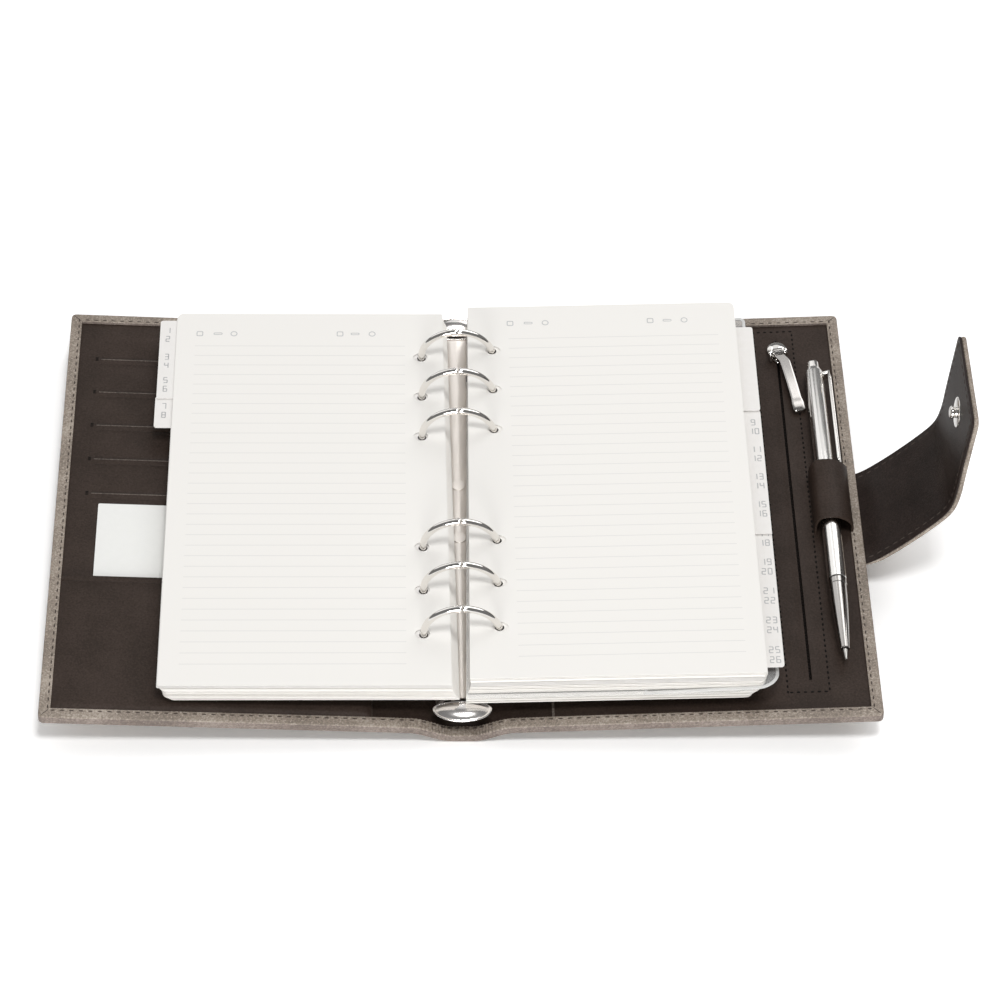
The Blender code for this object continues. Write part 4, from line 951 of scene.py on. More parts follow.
across = stations(PANEL_START, ZIP_U - 5.0, 4.0) + stations(ZIP_U + 5.0, PANEL_END, 4.0)
across += [ZIP_U + s * d for s in (-1, 1)
           for d in (SLIT_HALF, SLIT_HALF + 0.06, 1.0, 1.7, 2.4, 3.2, 4.1, 5.0)]
along = stations(-PANEL_SIDE, PANEL_SIDE, 4.0)
along += [ZIP_NEAR + d for d in (0.0, 0.5, 1.2)] + [ZIP_FAR - d for d in (0.0, 0.5, 1.2)]
cover_piece("back_panel_lining", panel(across, along, zip_press), 1, LINING_HIDE,
            ("back_panel",))

# The panel's cut edge by the fold is a strip of the same paler leather, a painted highlight.
for side, label in SIDES:
    cut_edge = block((PANEL_START - 0.15, -PANEL_SIDE, PANEL_W),
                     (PANEL_START + 0.7, PANEL_SIDE, PANEL_TOP + 0.08))
    soften(cut_edge, 0.12, 2)
    cover_piece(f"{label}_panel_rubbed_edge", cut_edge, side, EDGE_HIGHLIGHT_HIDE)

zip_stitches = bmesh.new()
# Big black beads: the thread and the painted shade of its holes.
ZIP_PITCH = 2.3
ZIP_STITCH = (1.3, 0.7, 0.4)
zip_box = [(90.6, -80.7), (104.5, -80.7), (104.5, 85.5), (90.6, 85.5), (90.6, -80.7)]
for at, along in row([Vector((u, y, PANEL_TOP)) for u, y in zip_box], ZIP_PITCH):
    bead(zip_stitches, at, along, UPWARDS, ZIP_STITCH)
cover_piece("zip_stitches", zip_stitches, 1, DARK_THREAD_HOLE_SHADE)

TOOTH_PITCH = 1.3
TOOTH = Matrix.Diagonal((0.7, 0.85, 0.3, 1.0))
TOOTH_W = 2.15
teeth = bmesh.new()
for i in range(int((ZIP_FAR - ZIP_NEAR) / TOOTH_PITCH)):
    stagger = 0.14 if i % 2 else -0.14
    spot = Vector((ZIP_U + stagger, ZIP_NEAR + 0.8 + i * TOOTH_PITCH, TOOTH_W))
    bmesh.ops.create_cube(teeth, size=1.0, matrix=Matrix.Translation(spot) @ TOOTH)
soften(teeth, 0.1, 1)
# A near-black strip under the teeth: painted shade filling the slit.
slit_shade_strip = block((ZIP_U - SLIT_HALF, ZIP_NEAR + 0.6, 2.06), (ZIP_U + SLIT_HALF, ZIP_FAR - 0.6, 2.1))
cover_piece("zip_teeth", gather([teeth, slit_shade_strip]), 1, SLIT_SHADE_METAL, ("zip_chain",))


# %% [markdown]
# ## The zip slider
# The slider is a small domed drop with two lugs that hold a pin. The drop could be carved from
# a block; here it is a spun dome drawn out at one end, which keeps it smooth.

# %% Make the slider
def turn(bm, angle, axis):
    """Turn a mesh about an axis through the origin."""
    bmesh.ops.rotate(bm, cent=(0, 0, 0), matrix=Matrix.Rotation(angle, 3, axis), verts=bm.verts)


SLIDER_Y = 74.5
SLIDER_W = 2.9
SLIDER_H = 1.9
PULL_PIN = Vector((ZIP_U, 71.9, 6.15))
PULL_YAW = radians(9.5)
SLIDER_R = 3.7
SLIDER_TAIL = 6.5                          # its near end is drawn out
crown = [(x, 0.2 + 0.8 * z) for x, z in arc((0, 0), 1.0, 0.0, pi / 2, 12)]
plate = turned([(0.0, 0.0), (0.94, 0.0)] + arc((0.94, 0.06), 0.06, -pi / 2, 0.0, 3) + crown, 48)


def drop(x, y, z):
    """Stretch a round dome into a drop that narrows towards its tail."""
    tail = max(0.0, -y)
    reach = SLIDER_TAIL if y < 0 else SLIDER_R
    return Vector((ZIP_U + x * SLIDER_R * (1.0 - 0.25 * tail), SLIDER_Y + 1.3 + y * reach,
                   SLIDER_W + SLIDER_H * z))


move(plate, drop)


def rod(radius, half):
    """A short round bar along X."""
    bm = turned([(0.0, -half), (radius, -half), (radius, half), (0.0, half)], 20)
    turn(bm, pi / 2, "Y")
    return bm


LUG_R, LUG_FOOT, LUG_DEEP, LUG_HALF = 1.35, 1.9, 2.3, 0.45
LUG_OUT = 2.7                              # each lug stands this far from the middle
PIN_R, PIN_HALF = 0.75, 3.3
lug_line = arc((0, 0), LUG_R, 0.0, pi, 10) + [(-LUG_FOOT, -LUG_DEEP), (LUG_FOOT, -LUG_DEEP)]
lugs = []
for s in (-1, 1):
    lug = cut_sheet(lug_line, [], -LUG_HALF, LUG_HALF)
    soften(lug, 0.15, 2)
    turn(lug, pi / 2, "X")
    turn(lug, pi / 2, "Z")
    nudge(lug, s * LUG_OUT, 0, 0)
    lugs.append(lug)
pin = rod(PIN_R, PIN_HALF)
yaw = Matrix.Translation(PULL_PIN) @ Matrix.Rotation(PULL_YAW, 4, "Z")
slider = gather([plate, carry(gather(lugs + [pin]), yaw)])
cover_piece("zip_slider_shell", slider, 1, CHROME, ("zip_slider",), body="zip_slider")


# %% [markdown]
# ## The zip pull
# The long pull swings on the slider's pin. It is a block with rounded corners, cut into
# stations, so that it can be bowed and thickened at its foot and still reflect in one clean
# sweep.

# %% Bow the pull
PULL_LENGTH = 27.9
PULL_HALF, PULL_DEEP = 1.9, 0.45           # half its width and thickness
PULL_SIDE = 1.4                            # the pull hangs a little to the right of its pin
PULL_BOW = 0.9
PULL_SLOPE = 0.085                         # its foot lies lower than its pin
PULL_TOP = -0.9
FOOT_R = 1.0
FOOT_START = -21.5
pull_tab = block((-PULL_HALF, -PULL_LENGTH, -PULL_DEEP), (PULL_HALF, PULL_TOP, PULL_DEEP))
corners = [e for e in pull_tab.edges if abs(e.verts[0].co.z - e.verts[1].co.z) > 0.1]
bevel(pull_tab, corners, FOOT_R, 6)
soften(pull_tab, 0.25, 3, 60.0)
cut(pull_tab, 1, stations(FOOT_R - PULL_LENGTH, PULL_TOP - FOOT_R, 0.8))
cut(pull_tab, 0, stations(-PULL_HALF, PULL_HALF, 0.6))


def bow(x, y, z):
    """Arch the pull along its length, swing it aside below its pin and swell its foot."""
    middle = 2.0 * y / PULL_LENGTH + 1.0
    swell = ease((FOOT_START - y) / 3.5)
    aside = PULL_SIDE * ease((PULL_TOP - y) / 4.5)
    height = z * (1.0 + 0.7 * swell) + PULL_BOW * (1.0 - middle * middle) + PULL_SLOPE * y
    return Vector((aside + x * (1.0 + 0.2 * swell), y, height))


move(pull_tab, bow)
EYE_IN, EYE_OUT, EYE_HALF = 1.05, 1.6, 1.65
eye = [(EYE_IN, -EYE_HALF), (EYE_OUT, -EYE_HALF), (EYE_OUT, EYE_HALF), (EYE_IN, EYE_HALF)]
eye = turned(eye + eye[:1], 28)
turn(eye, pi / 2, "Y")
pull = carry(gather([pull_tab, eye]), yaw)
cover_piece("zip_pull_tab", pull, 1, PULL_METAL, ("zip_pull",), body="zip_pull")


# %% [markdown]
# ## The pen loop
# A strip of lining leather goes over the pen and is sewn in on either side. It is a flat strip
# cut into stations and bent along a line of points, with its edges rounded and a slight hollow
# between the two ends, as leather takes when it is pulled round a pen.

# %% Bend the loop
def follow(points):
    """Turn (a, b) points into a function from distance to place and normal."""
    runs = [0.0]
    for (a0, b0), (a1, b1) in zip(points, points[1:]):
        runs.append(runs[-1] + sqrt((a1 - a0) ** 2 + (b1 - b0) ** 2))

    def at(s):
        i = max(0, min(len(points) - 2, sum(1 for run in runs[1:-1] if run <= s)))
        (a0, b0), (a1, b1) = points[i], points[i + 1]
        t = (s - runs[i]) / (runs[i + 1] - runs[i])
        along = Vector((a1 - a0, b1 - b0)).normalized()
        return a0 + (a1 - a0) * t, b0 + (b1 - b0) * t, along

    return at, runs[-1]


def round_off(points, times=3):
    """Cut the corners of a line of points again and again until it is a curve."""
    for _ in range(times):
        cut_points = [points[0]]
        for (a0, b0), (a1, b1) in zip(points, points[1:]):
            cut_points += [(a0 * t + a1 * (1.0 - t), b0 * t + b1 * (1.0 - t)) for t in (0.75, 0.25)]
        points = cut_points + [points[-1]]
    return points


PEN_U = 110.5
PEN_W = 7.15
LOOP_R = 3.75
LOOP_SKIN = 0.9
LOOP_NEAR = span("pen_loop")[0].y
LOOP_FAR = span("pen_loop")[1].y
loop_floor = PANEL_TOP + 0.25
loop_left = PEN_U - LOOP_R - 0.9
loop_right = PANEL_END - 0.4
loop_line = [(loop_left, loop_floor - 0.8), (loop_left, PEN_W + 0.8), (PEN_U - 3.0, PEN_W + 3.6)]
loop_line += [(PEN_U, PEN_W + 3.85), (PEN_U + 3.0, PEN_W + 3.5), (loop_right, PEN_W + 0.4)]
loop_line += [(loop_right, loop_floor - 0.8)]
loop_at, loop_run = follow(round_off(loop_line, 3))
loop = block((0.0, LOOP_NEAR, 0.0), (loop_run, LOOP_FAR, LOOP_SKIN))
soften(loop, 0.28, 3)
cut(loop, 0, stations(0.0, loop_run, 0.5))
cut(loop, 1, stations(LOOP_NEAR, LOOP_FAR, 2.5))


def bend_loop(s, y, t):
    u, w, along = loop_at(s)
    middle = 1.0 - abs(2.0 * (y - LOOP_NEAR) / (LOOP_FAR - LOOP_NEAR) - 1.0)
    pulled = 0.12 * (1.0 - ease(middle * 2.0)) * ease((w - loop_floor) / 3.0)
    return Vector((u - along.y * (t + pulled), y, w + along.x * (t + pulled)))


move(loop, bend_loop)
cover_piece("pen_loop_leather", loop, 1, LINING_HIDE, ("pen_loop",))


# %% [markdown]
# ## The pen
# A slim metal ball pen lies in the loop. Its barrel, nose, button and refill are turned
# profiles, laid along the same line.

# %% Turn the pen
PEN_R = 3.3
PEN_TOP = 61.5
PEN_JOINT = -37.0
PEN_NOSE = -66.5
pen_line = on_cover(1) @ Matrix.Translation((PEN_U, 0, PEN_W))
lay_pen = pen_line @ Matrix.Rotation(-pi / 2, 4, "X")


def pen_part(name, profile, finish, body, node, sides=48):
    piece(name, carry(turned(profile, sides), lay_pen), finish, body, (node,), 30.0)


PEN_BORE = 2.3
barrel = [(PEN_BORE, PEN_JOINT + 0.3), (PEN_R - 0.15, PEN_JOINT + 0.3), (PEN_R, PEN_JOINT + 0.5)]
barrel += [(PEN_R, PEN_TOP - 2.0), (PEN_R - 0.1, PEN_TOP - 1.7), (PEN_R - 0.6, PEN_TOP - 0.15)]
barrel += [(PEN_R - 0.8, PEN_TOP), (PEN_BORE, PEN_TOP), (PEN_BORE, PEN_JOINT + 0.3)]
pen_part("pen_barrel_tube", barrel, PEN_METAL, "pen", "pen_barrel")
NOSE_BORE = 1.3
NOSE_END = 1.7
cone_r = PEN_R - 0.15
cone_top = PEN_JOINT - 2.5
nose = [(NOSE_BORE, PEN_JOINT), (cone_r, PEN_JOINT), (PEN_R, PEN_JOINT - 0.2)]
nose += [(PEN_R, cone_top + 0.2), (cone_r, cone_top)]
nose += [(cone_r + (NOSE_END - cone_r) * (i / 10) ** 1.6, cone_top + (PEN_NOSE - cone_top) * i / 10)
         for i in range(1, 11)]
nose += [(1.55, PEN_NOSE - 0.15), (NOSE_BORE, PEN_NOSE - 0.15), (NOSE_BORE, PEN_JOINT)]
# The nose takes the darker metal, a painted reflection of the dark lining it faces.
pen_part("pen_nose_cone", nose, PULL_METAL, "pen", "pen_nose")
refill = [(0.0, -71.0), (0.35, -70.9), (0.5, -70.2), (1.0, -66.0), (1.0, 40.0), (0.0, 40.0)]
pen_part("pen_refill_tube", refill, STEEL, "pen_refill", "pen_refill", 24)
BUTTON_R = 2.15
BUTTON_TOP = 64.8
button = [(0.0, 52.5), (BUTTON_R, 52.5)]
button += arc((BUTTON_R - 0.5, BUTTON_TOP - 0.5), 0.5, 0.0, pi / 2, 5) + [(0.0, BUTTON_TOP)]
pen_part("pen_push_button", button, CHROME, "pen_button", "pen_button", 32)


# %% [markdown]
# ## The pen's clip
# The clip is a long narrow frame of chrome wire. A wire could be swept round it, but an outline
# with a slot, thickened and rounded, has cleaner corners. A small foot holds it to the barrel.

# %% Frame the clip
CLIP_FAR = 58.5
CLIP_NEAR = 15.0
CLIP_HALF = 1.6
CLIP_WIRE = 0.6
CLIP_UP = radians(18.0)
CLIP_LOW, CLIP_TOP = 5.2, 5.9              # above the middle of the pen


def clip_line(half, far, steps):
    """A long outline with one round end."""
    return arc((0, CLIP_NEAR + CLIP_HALF), half, pi, 2 * pi, steps) + [(half, far), (-half, far)]


clip_hole = clip_line(CLIP_HALF - CLIP_WIRE, CLIP_FAR - 1.3, 8)
clip = cut_sheet(clip_line(CLIP_HALF, CLIP_FAR, 10), [clip_hole], CLIP_LOW, CLIP_TOP)
soften(clip, 0.2, 2)
foot = block((-CLIP_HALF, CLIP_FAR - 1.2, PEN_R - 0.4), (CLIP_HALF, CLIP_FAR, CLIP_TOP))
soften(foot, 0.3, 3)
clip = carry(gather([clip, foot]), pen_line @ Matrix.Rotation(pi / 2 - CLIP_UP, 4, "Y"))
piece("pen_clip_frame", clip, CHROME, "pen", ("pen_clip",))


# %% [markdown]
# ## The closing strap
# The strap comes out of the fore edge of the back cover, sweeps up and stands on end. It is two
# leathers sewn together. Each is a long strip bent along the curve seen from the side, split at
# the middle of the sweep.

# %% Bend the strap
STRAP_WIDE = 41.2
STRAP_LINING = 0.75
STRAP_SKIN = 1.6
STRAP_GAP = 0.05
side_view = [(127.0, 11.6), (136.0, 12.1), (140.3, 13.4), (146.6, 19.2), (153.5, 26.6)]
side_view += [(160.0, 34.4), (164.2, 40.4), (165.5, 48.0), (165.7, 58.0), (166.9, 84.4)]
strap_at, strap_run = follow(round_off(side_view, 3))
STRAP_SPLIT = 38.0
CORNER = 3.0


def strap_taper(s):
    """The strap is thinned where it goes into the fore edge of the cover."""
    return 0.28 + 0.72 * ease((s - 9.0) / 10.0)


def strap_strip(start, end, low, high):
    """A strip of one leather between two depths below the inner face."""
    half = STRAP_WIDE / 2
    bm = bmesh.new()
    outline = [(start, -half), (end, -half), (end, half), (start, half)]
    if end >= strap_run:
        outline = [(start, -half)] + arc((end - CORNER, -half + CORNER), CORNER, -pi / 2, 0.0, 6)
        outline += arc((end - CORNER, half - CORNER), CORNER, 0.0, pi / 2, 6) + [(start, half)]
    bm.faces.new([bm.verts.new((s, y + STRAP_Y, -high)) for s, y in outline])
    raise_up(bm, bm.faces[:], high - low)
    square_ends = [start] if end >= strap_run else [start, end]
    rim = [e for e in bm.edges if abs(e.verts[0].co.z - e.verts[1].co.z) < SAME
           and not any(all(abs(v.co.x - at) < SAME for v in e.verts) for at in square_ends)]
    bevel(bm, rim, (high - low) * 0.38, 3)
    cut(bm, 0, stations(start, end, 0.8))
    cut(bm, 1, stations(STRAP_Y - half, STRAP_Y + half, 4.0))
    move(bm, strap_place)
    return bm


def strap_place(s, y, t):
    """From distance along the strap, place across it and depth to the open book."""
    x, z, along = strap_at(s)
    t *= strap_taper(s)
    return Vector((x - along.y * t, y, z + along.x * t))


STITCH_EDGE = 2.2
STRAP_STITCH_START = 13.0
STRAP_PITCH = 3.4
STRAP_STITCH = (2.3, 0.5, 0.3)


def strap_stitches(start, end):
    bm = bmesh.new()
    half = STRAP_WIDE / 2 - STITCH_EDGE
    last = strap_run - STITCH_EDGE
    turns = ((STRAP_STITCH_START, -half), (last, -half), (last, half), (STRAP_STITCH_START, half))
    path = [Vector((s, STRAP_Y + y, 0)) for s, y in turns]
    sew(bm, path, STRAP_PITCH, STRAP_STITCH, strap_place, start, end)
    return bm


def fold_place(x, z):
    return Vector((x, STRAP_Y, z)) * MM


skin_top = STRAP_LINING + STRAP_GAP
skin_low = skin_top + STRAP_SKIN
HALVES = (("root", "base", 0.0, STRAP_SPLIT, "back_cover", "strap_base",
           fold_place(139.0, 12.5), fold_place(149.0, 18.5)),
          ("end", "tip", STRAP_SPLIT, strap_run, "strap_base", "strap_tip",
           fold_place(160.0, 33.5), fold_place(166.0, 52.0)))
for part, node, start, end, held, moved, bend_start, bend_end in HALVES:
    skin = strap_strip(start, end, skin_top, skin_low)
    lining = strap_strip(start, end, 0.0, STRAP_LINING)
    nodes = (f"strap_{node}_leather",)
    if part == "root":
        nodes += ("strap_anchor",)
    made = [piece(f"strap_{part}_leather", skin, CASE_HIDE, nodes=nodes),
            piece(f"strap_{part}_lining", lining, STRAP_HIDE,
                  nodes=(f"strap_{node}_lining",)),
            piece(f"strap_{part}_stitches", strap_stitches(start, end), THREAD)]
    for obj in made:
        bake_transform(obj)


# %% [markdown]
# ## The snap stud
# The stud is riveted through the strap: a collar and a ball-ended post on the inside, a plain
# domed cap on the outside. Both are turned about the same line, which is taken from the solid
# stud's box.

# %% Turn the stud
stud_low, stud_high = span("snap_stud")
stud_axis = Vector((0.9990, 0, -0.0454))
stud_middle = Vector((166.35, STRAP_Y, (stud_low.z + stud_high.z) / 2))
lay_stud = Matrix.Translation(stud_middle) @ stud_axis.to_track_quat("Z", "Y").to_matrix().to_4x4()
COLLAR_R = 5.3
CAP_R = 6.0
CAP_LOW = 2.1
CAP_RIM = 0.35
CAP_TOP = 3.65


def dome(radius, low, top, steps=8):
    """A shallow round dome as (radius, height) points, from its edge to its top."""
    bend = (radius ** 2 + (top - low) ** 2) / (2 * (top - low))
    return arc((0, top - bend), bend, pi / 2 - asin(radius / bend), pi / 2, steps)


stud = [(0.0, -2.75), (1.0, -2.75)] + arc((1.3, -1.85), 0.9, -pi / 2, pi / 4, 8)
stud += [(1.75, -0.9), (1.85, -0.5)] + arc((COLLAR_R - 0.4, -0.05), 0.4, -pi / 2, 0.0, 5)
stud = turned(stud + [(COLLAR_R, 0.1), (1.8, 0.1), (1.8, 2.6), (0.0, 2.6)], 56)
piece("snap_stud_post", carry(stud, lay_stud), CHROME, "strap_tip", ("snap_stud",))
cap = [(0.0, CAP_LOW)] + arc((CAP_R - CAP_RIM, CAP_LOW + CAP_RIM), CAP_RIM, -pi / 2, pi / 3, 6)
cap = turned(cap + dome(CAP_R - 0.25, CAP_LOW + 0.68, CAP_TOP), 56)
piece("snap_cap_dome", carry(cap, lay_stud), CHROME, "strap_tip", ("snap_cap",))


# %% [markdown]
# ## The ring rail
# A pressed steel rail arches over the ring mechanism and is riveted to the spine. Each ring
# comes up through a slot. It is a flat sheet cut into stations with the slot faces taken out,
# rolled to an arch and then thickened, which is close to how the real rail is punched and
# pressed.

# %% Press the rail
RAIL_HALF = 8.6
RAIL_LOW = 3.25
RAIL_TOP = 10.75
RAIL_SKIRT = 1.35
RAIL_SHEET = 0.8
RAIL_END = 82.0
SLOT_X = (3.35, 7.45)
SLOT_HALF = 1.65
SKIRT_RUN = 0.35
RAIL_SQUARE = 2.6                          # 2 would be an ellipse
RAIL_PITCH = 0.11                          # the top is two flats, like a low roof


def rail_angle(x):
    """Place across the flat sheet, from -1 to 1, at which the arch is x from the middle."""
    return 2.0 / pi * asin(x / RAIL_HALF)


rail = bmesh.new()
bmesh.ops.create_grid(rail, x_segments=1, y_segments=1, size=1.0)
bmesh.ops.scale(rail, vec=(1.0 + SKIRT_RUN, RAIL_END, 1.0), verts=rail.verts)
slot_edges = [rail_angle(x) for x in SLOT_X]
cut(rail, 0, stations(-1.0, 1.0, 0.045) + [-1.0, 1.0] + slot_edges + [-edge for edge in slot_edges])
cut(rail, 1, [y + s * SLOT_HALF for y in RING_YS for s in (-1, 1)]
    + stations(-RAIL_END, RAIL_END, 8.0))
punched = [f for f in rail.faces if slot_edges[0] < abs(f.calc_center_median().x) < slot_edges[1]
           and any(abs(f.calc_center_median().y - y) < SLOT_HALF for y in RING_YS)]
bmesh.ops.delete(rail, geom=punched, context="FACES")


def roll_rail(p, y, z):
    x = RAIL_HALF * sin(pi / 2 * max(-1.0, min(1.0, p)))
    arch = (1.0 - (abs(x) / RAIL_HALF) ** RAIL_SQUARE) ** (1.0 / RAIL_SQUARE)
    roof = RAIL_TOP - RAIL_PITCH * abs(x)
    skirt = max(0.0, abs(p) - 1.0) / SKIRT_RUN * RAIL_SKIRT
    rise = min(roof, RAIL_LOW + RAIL_SKIRT + (RAIL_TOP - RAIL_LOW - RAIL_SKIRT) * arch)
    return Vector((x, y, rise - skirt))


move(rail, roll_rail)
bmesh.ops.recalc_face_normals(rail, faces=rail.faces)
if sum(f.normal.z for f in rail.faces) < 0:
    bmesh.ops.reverse_faces(rail, faces=rail.faces)
bmesh.ops.solidify(rail, geom=rail.faces[:], thickness=RAIL_SHEET)
piece("ring_rail_arch", rail, RAIL_METAL, "spine", ("ring_rail",))


# %% [markdown]
# ## The rivets
# Two rivets hold the rail to the spine, and only their low heads show. Shank and head are one
# turned profile: a straight side, a rolled edge and a shallow dome.

# %% Set the rivets
SHANK_R = 1.4
HEAD_R = 2.3
HEAD_EDGE = 0.15
HEAD_LOW = 10.55
for name, y in (("near", -12.0), ("far", 12.0)):
    rivet = [(0.0, 1.2), (SHANK_R, 1.2), (SHANK_R, HEAD_LOW)]
    rivet += arc((HEAD_R, HEAD_LOW + HEAD_EDGE), HEAD_EDGE, -pi / 2, pi / 2, 6)
    rivet = turned(rivet + dome(HEAD_R - 0.05, HEAD_LOW + 2 * HEAD_EDGE, 10.94), 40)
    nudge(rivet, 0, y, 0)
    piece(f"{name}_rail_rivet", rivet, RAIL_METAL, "spine", (f"rail_rivet_{name}",))


# %% [markdown]
# ## The rings
# Each ring is two half hoops of round wire that meet at the top. A circle swept about the
# ring's centre gives the hoop, and its lower end is drawn straight down to the plate that opens
# it.

# %% Sweep the wire
RING_FOOT = 5.0
TIP_GAP = 0.18
PLATE_TOP = 7.0
FOOT_TAPER = 0.93
TIP_ROUND = 0.16


def half_ring(side, y):
    bm = bmesh.new()
    centre = Vector((0, y, RING_CENTRE_Z))
    at_top = Matrix.Translation((0, y, RING_CENTRE_Z + RING_R)) @ Matrix.Rotation(pi / 2, 4, "Y")
    wire = bmesh.ops.create_circle(bm, cap_ends=False, segments=20, radius=WIRE / 2, matrix=at_top)
    first = asin(TIP_GAP / RING_R)
    bmesh.ops.rotate(bm, cent=centre, matrix=Matrix.Rotation(side * first, 3, "Y"),
                     verts=wire["verts"])
    loop = list({e for v in wire["verts"] for e in v.link_edges})
    sweep = pi - asin(RING_FOOT / RING_R) - first
    swept = bmesh.ops.spin(bm, geom=wire["verts"] + loop, cent=centre, axis=(0, 1, 0),
                           angle=side * sweep, steps=56)
    last = [e for e in swept["geom_last"] if isinstance(e, bmesh.types.BMEdge)]
    for vert in new_verts(bmesh.ops.extrude_edge_only(bm, edges=last)):
        vert.co.x = side * RING_FOOT + (vert.co.x - side * RING_FOOT) * FOOT_TAPER
        vert.co.z = PLATE_TOP
    caps = bmesh.ops.holes_fill(bm, edges=[e for e in bm.edges if e.is_boundary], sides=0)["faces"]
    top_cap = max(caps, key=lambda f: f.calc_center_median().z)
    bevel(bm, list(top_cap.edges), TIP_ROUND, 2)
    return bm


for side, label in ((-1, "left"), (1, "right")):
    for number in range(1, 7):
        node = f"{label}_ring_{number}"
        piece(f"{label}_wire_{number}", half_ring(side, middle_y(node)), CHROME,
              f"{label}_rings", (node,))


# %% [markdown]
# ## The thumb levers
# Pressing the lip at either end of the rail opens the rings. The lip is a shallow oval dome
# with a rolled rim: a profile spun once, stretched into an oval that is flatter towards the
# rail, with a neck under it.

# %% Shape the levers
LIP_HALF = 9.88
LIP_DEEP = 5.2
LIP_Y = 86.2
LIP_Z = {-1: 10.5, 1: 10.9}
LIP_DROOP = {-1: radians(6.0), 1: radians(-38.0)}   # the near lip droops, the far stands up


def bulge(top, rim, fall, power):
    """A dome as (radius, height) points from its top; a higher power is steeper at its edge."""
    return [(rim * i / 10, top - fall * (i / 10) ** power) for i in range(11)]


rim_turns = [radians(120 - 24 * i) for i in range(11)]
rolled_rim = [(0.95 + 0.05 * cos(a), -0.2 + 0.22 * sin(a)) for a in rim_turns]
lip_profile = bulge(1.05, 0.86, 1.13, 2.8) + [(0.895, -0.14)] + rolled_rim
lip_profile += bulge(0.45, 0.9, 0.8, 1.9)[::-1]
NECK_START, NECK_END = 75.0, 86.0
NECK_HALF = 3.6
NECK_RISE = 82.2                           # the neck climbs to the lip from here
PLATE_Z = 6.2
AXLE_Y, AXLE_HALF, AXLE_R = 77.0, 8.4, 0.9


def lever(side):
    lip = turned(lip_profile, 72)
    bmesh.ops.scale(lip, vec=(LIP_HALF, LIP_DEEP, 1.0), verts=lip.verts)
    for vert in lip.verts:
        if vert.co.y * side < 0:
            vert.co.y *= 0.55
    turn(lip, -side * LIP_DROOP[side], "X")
    nudge(lip, 0, side * LIP_Y, LIP_Z[side])
    neck = block((-NECK_HALF, NECK_START, -0.8), (NECK_HALF, NECK_END, 0.8))
    soften(neck, 0.4, 3)
    cut(neck, 1, stations(NECK_START, NECK_END, 0.5))
    for vert in neck.verts:
        along = ease((vert.co.y - NECK_RISE) / 3.4)
        vert.co.x *= 1.0 + 0.35 * along
        vert.co.z = PLATE_Z + 3.6 * along + vert.co.z * (1.6 - 0.9 * along)
        vert.co.y *= side
    axle = rod(AXLE_R, AXLE_HALF)
    nudge(axle, 0, side * AXLE_Y, PLATE_Z)
    return gather([lip, neck, axle])


piece("near_thumb_lever", lever(-1), SATIN, "near_lever", ("near_lever",))
piece("far_thumb_lever", lever(1), SATIN, "far_lever", ("far_lever",))


# %% [markdown]
# ## Ruled paper
# The pages are ruled with very pale grey lines. The lines are worked out from object
# coordinates: the distance down the page, divided by the pitch, is a whole number on a line. A
# mask keeps them off the margins and the cut edges. They could be a picture, but a rule stays
# sharp at any distance.

# %% Rule the pages
LINE_PITCH = 4.68
FIRST_LINE = 69.0
LINE_COUNT = 32
LINE_WIDE = 0.26
MARGIN_IN = 18.5
MARGIN_OUT = 93.5
PAGE_TONE = (0.900, 0.880, 0.845)
RULE_TONE = (0.775, 0.760, 0.735)


def ruled(name):
    material, tree, shader = new_finish(name, PAGE_TONE, 0.75)
    place = add_node(tree, "ShaderNodeTexCoord")
    spot = add_node(tree, "ShaderNodeSeparateXYZ")
    link(tree, place.outputs["Object"], spot.inputs["Vector"])
    facing = add_node(tree, "ShaderNodeSeparateXYZ")
    link(tree, place.outputs["Normal"], facing.inputs["Vector"])
    calc = partial(mixed, tree)
    down = calc("DIVIDE", calc("SUBTRACT", FIRST_LINE * MM, spot.outputs["Y"]), LINE_PITCH * MM)
    part = calc("FRACT", calc("ADD", down, 0.5), 0.0)
    off_line = calc("ABSOLUTE", calc("SUBTRACT", part, 0.5), 0.0)
    inked = calc("LESS_THAN", off_line, LINE_WIDE / 2 / LINE_PITCH)
    across = calc("ABSOLUTE", spot.outputs["X"], 0.0)
    for mask in (calc("GREATER_THAN", calc("ABSOLUTE", facing.outputs["Z"], 0.0), 0.7),
                 calc("GREATER_THAN", across, MARGIN_IN * MM),
                 calc("LESS_THAN", across, MARGIN_OUT * MM),
                 calc("GREATER_THAN", down, -0.4),
                 calc("LESS_THAN", down, LINE_COUNT - 0.5)):
        inked = calc("MULTIPLY", inked, mask)
    tones = ramp(tree, inked, [(0.0, PAGE_TONE), (1.0, RULE_TONE)])
    link(tree, tones, shader.inputs["Base Color"])
    fibre(tree, shader)
    return material


RULED = ruled("ruled_paper")
print("ruled", LINE_COUNT, "lines")


# %% [markdown]
# ## The sheets
# Every sheet is cut as an outline with six oval holes, filled and thickened; low down, where
# the wire comes close to the inner edge, the holes are open notches. Lower sheets sit nearer
# the middle because the rings curve in under them.

# %% Cut a sheet
PAGE_WIDE = 95.0
PAGE_HALF = 85.0
PAGE_CORNER = 2.2
HOLE_RUN = 13.1                            # holes follow this radius round the rings
HOLE_EDGE = 7.8
FOOT = {-1: (0.9, 3.3), 1: (1.2, 4.0)}     # no sheet comes nearer the middle, near and far end
SKEW = {-1: (1.7, 0.25), 1: (2.7, 0.95)}   # inner edge nearer the rail, at the near and far end
SNUG = 1.35                                # play on the wire of the sheets that show,
CLOSE = 0.35                               # of the one under each, seen down its holes,
ROOMY = 3.0                                # and of all the others
TAB_CORNER = 1.0
TAB_REACH = 6.0
RIGHT_TILT = radians(1.84)


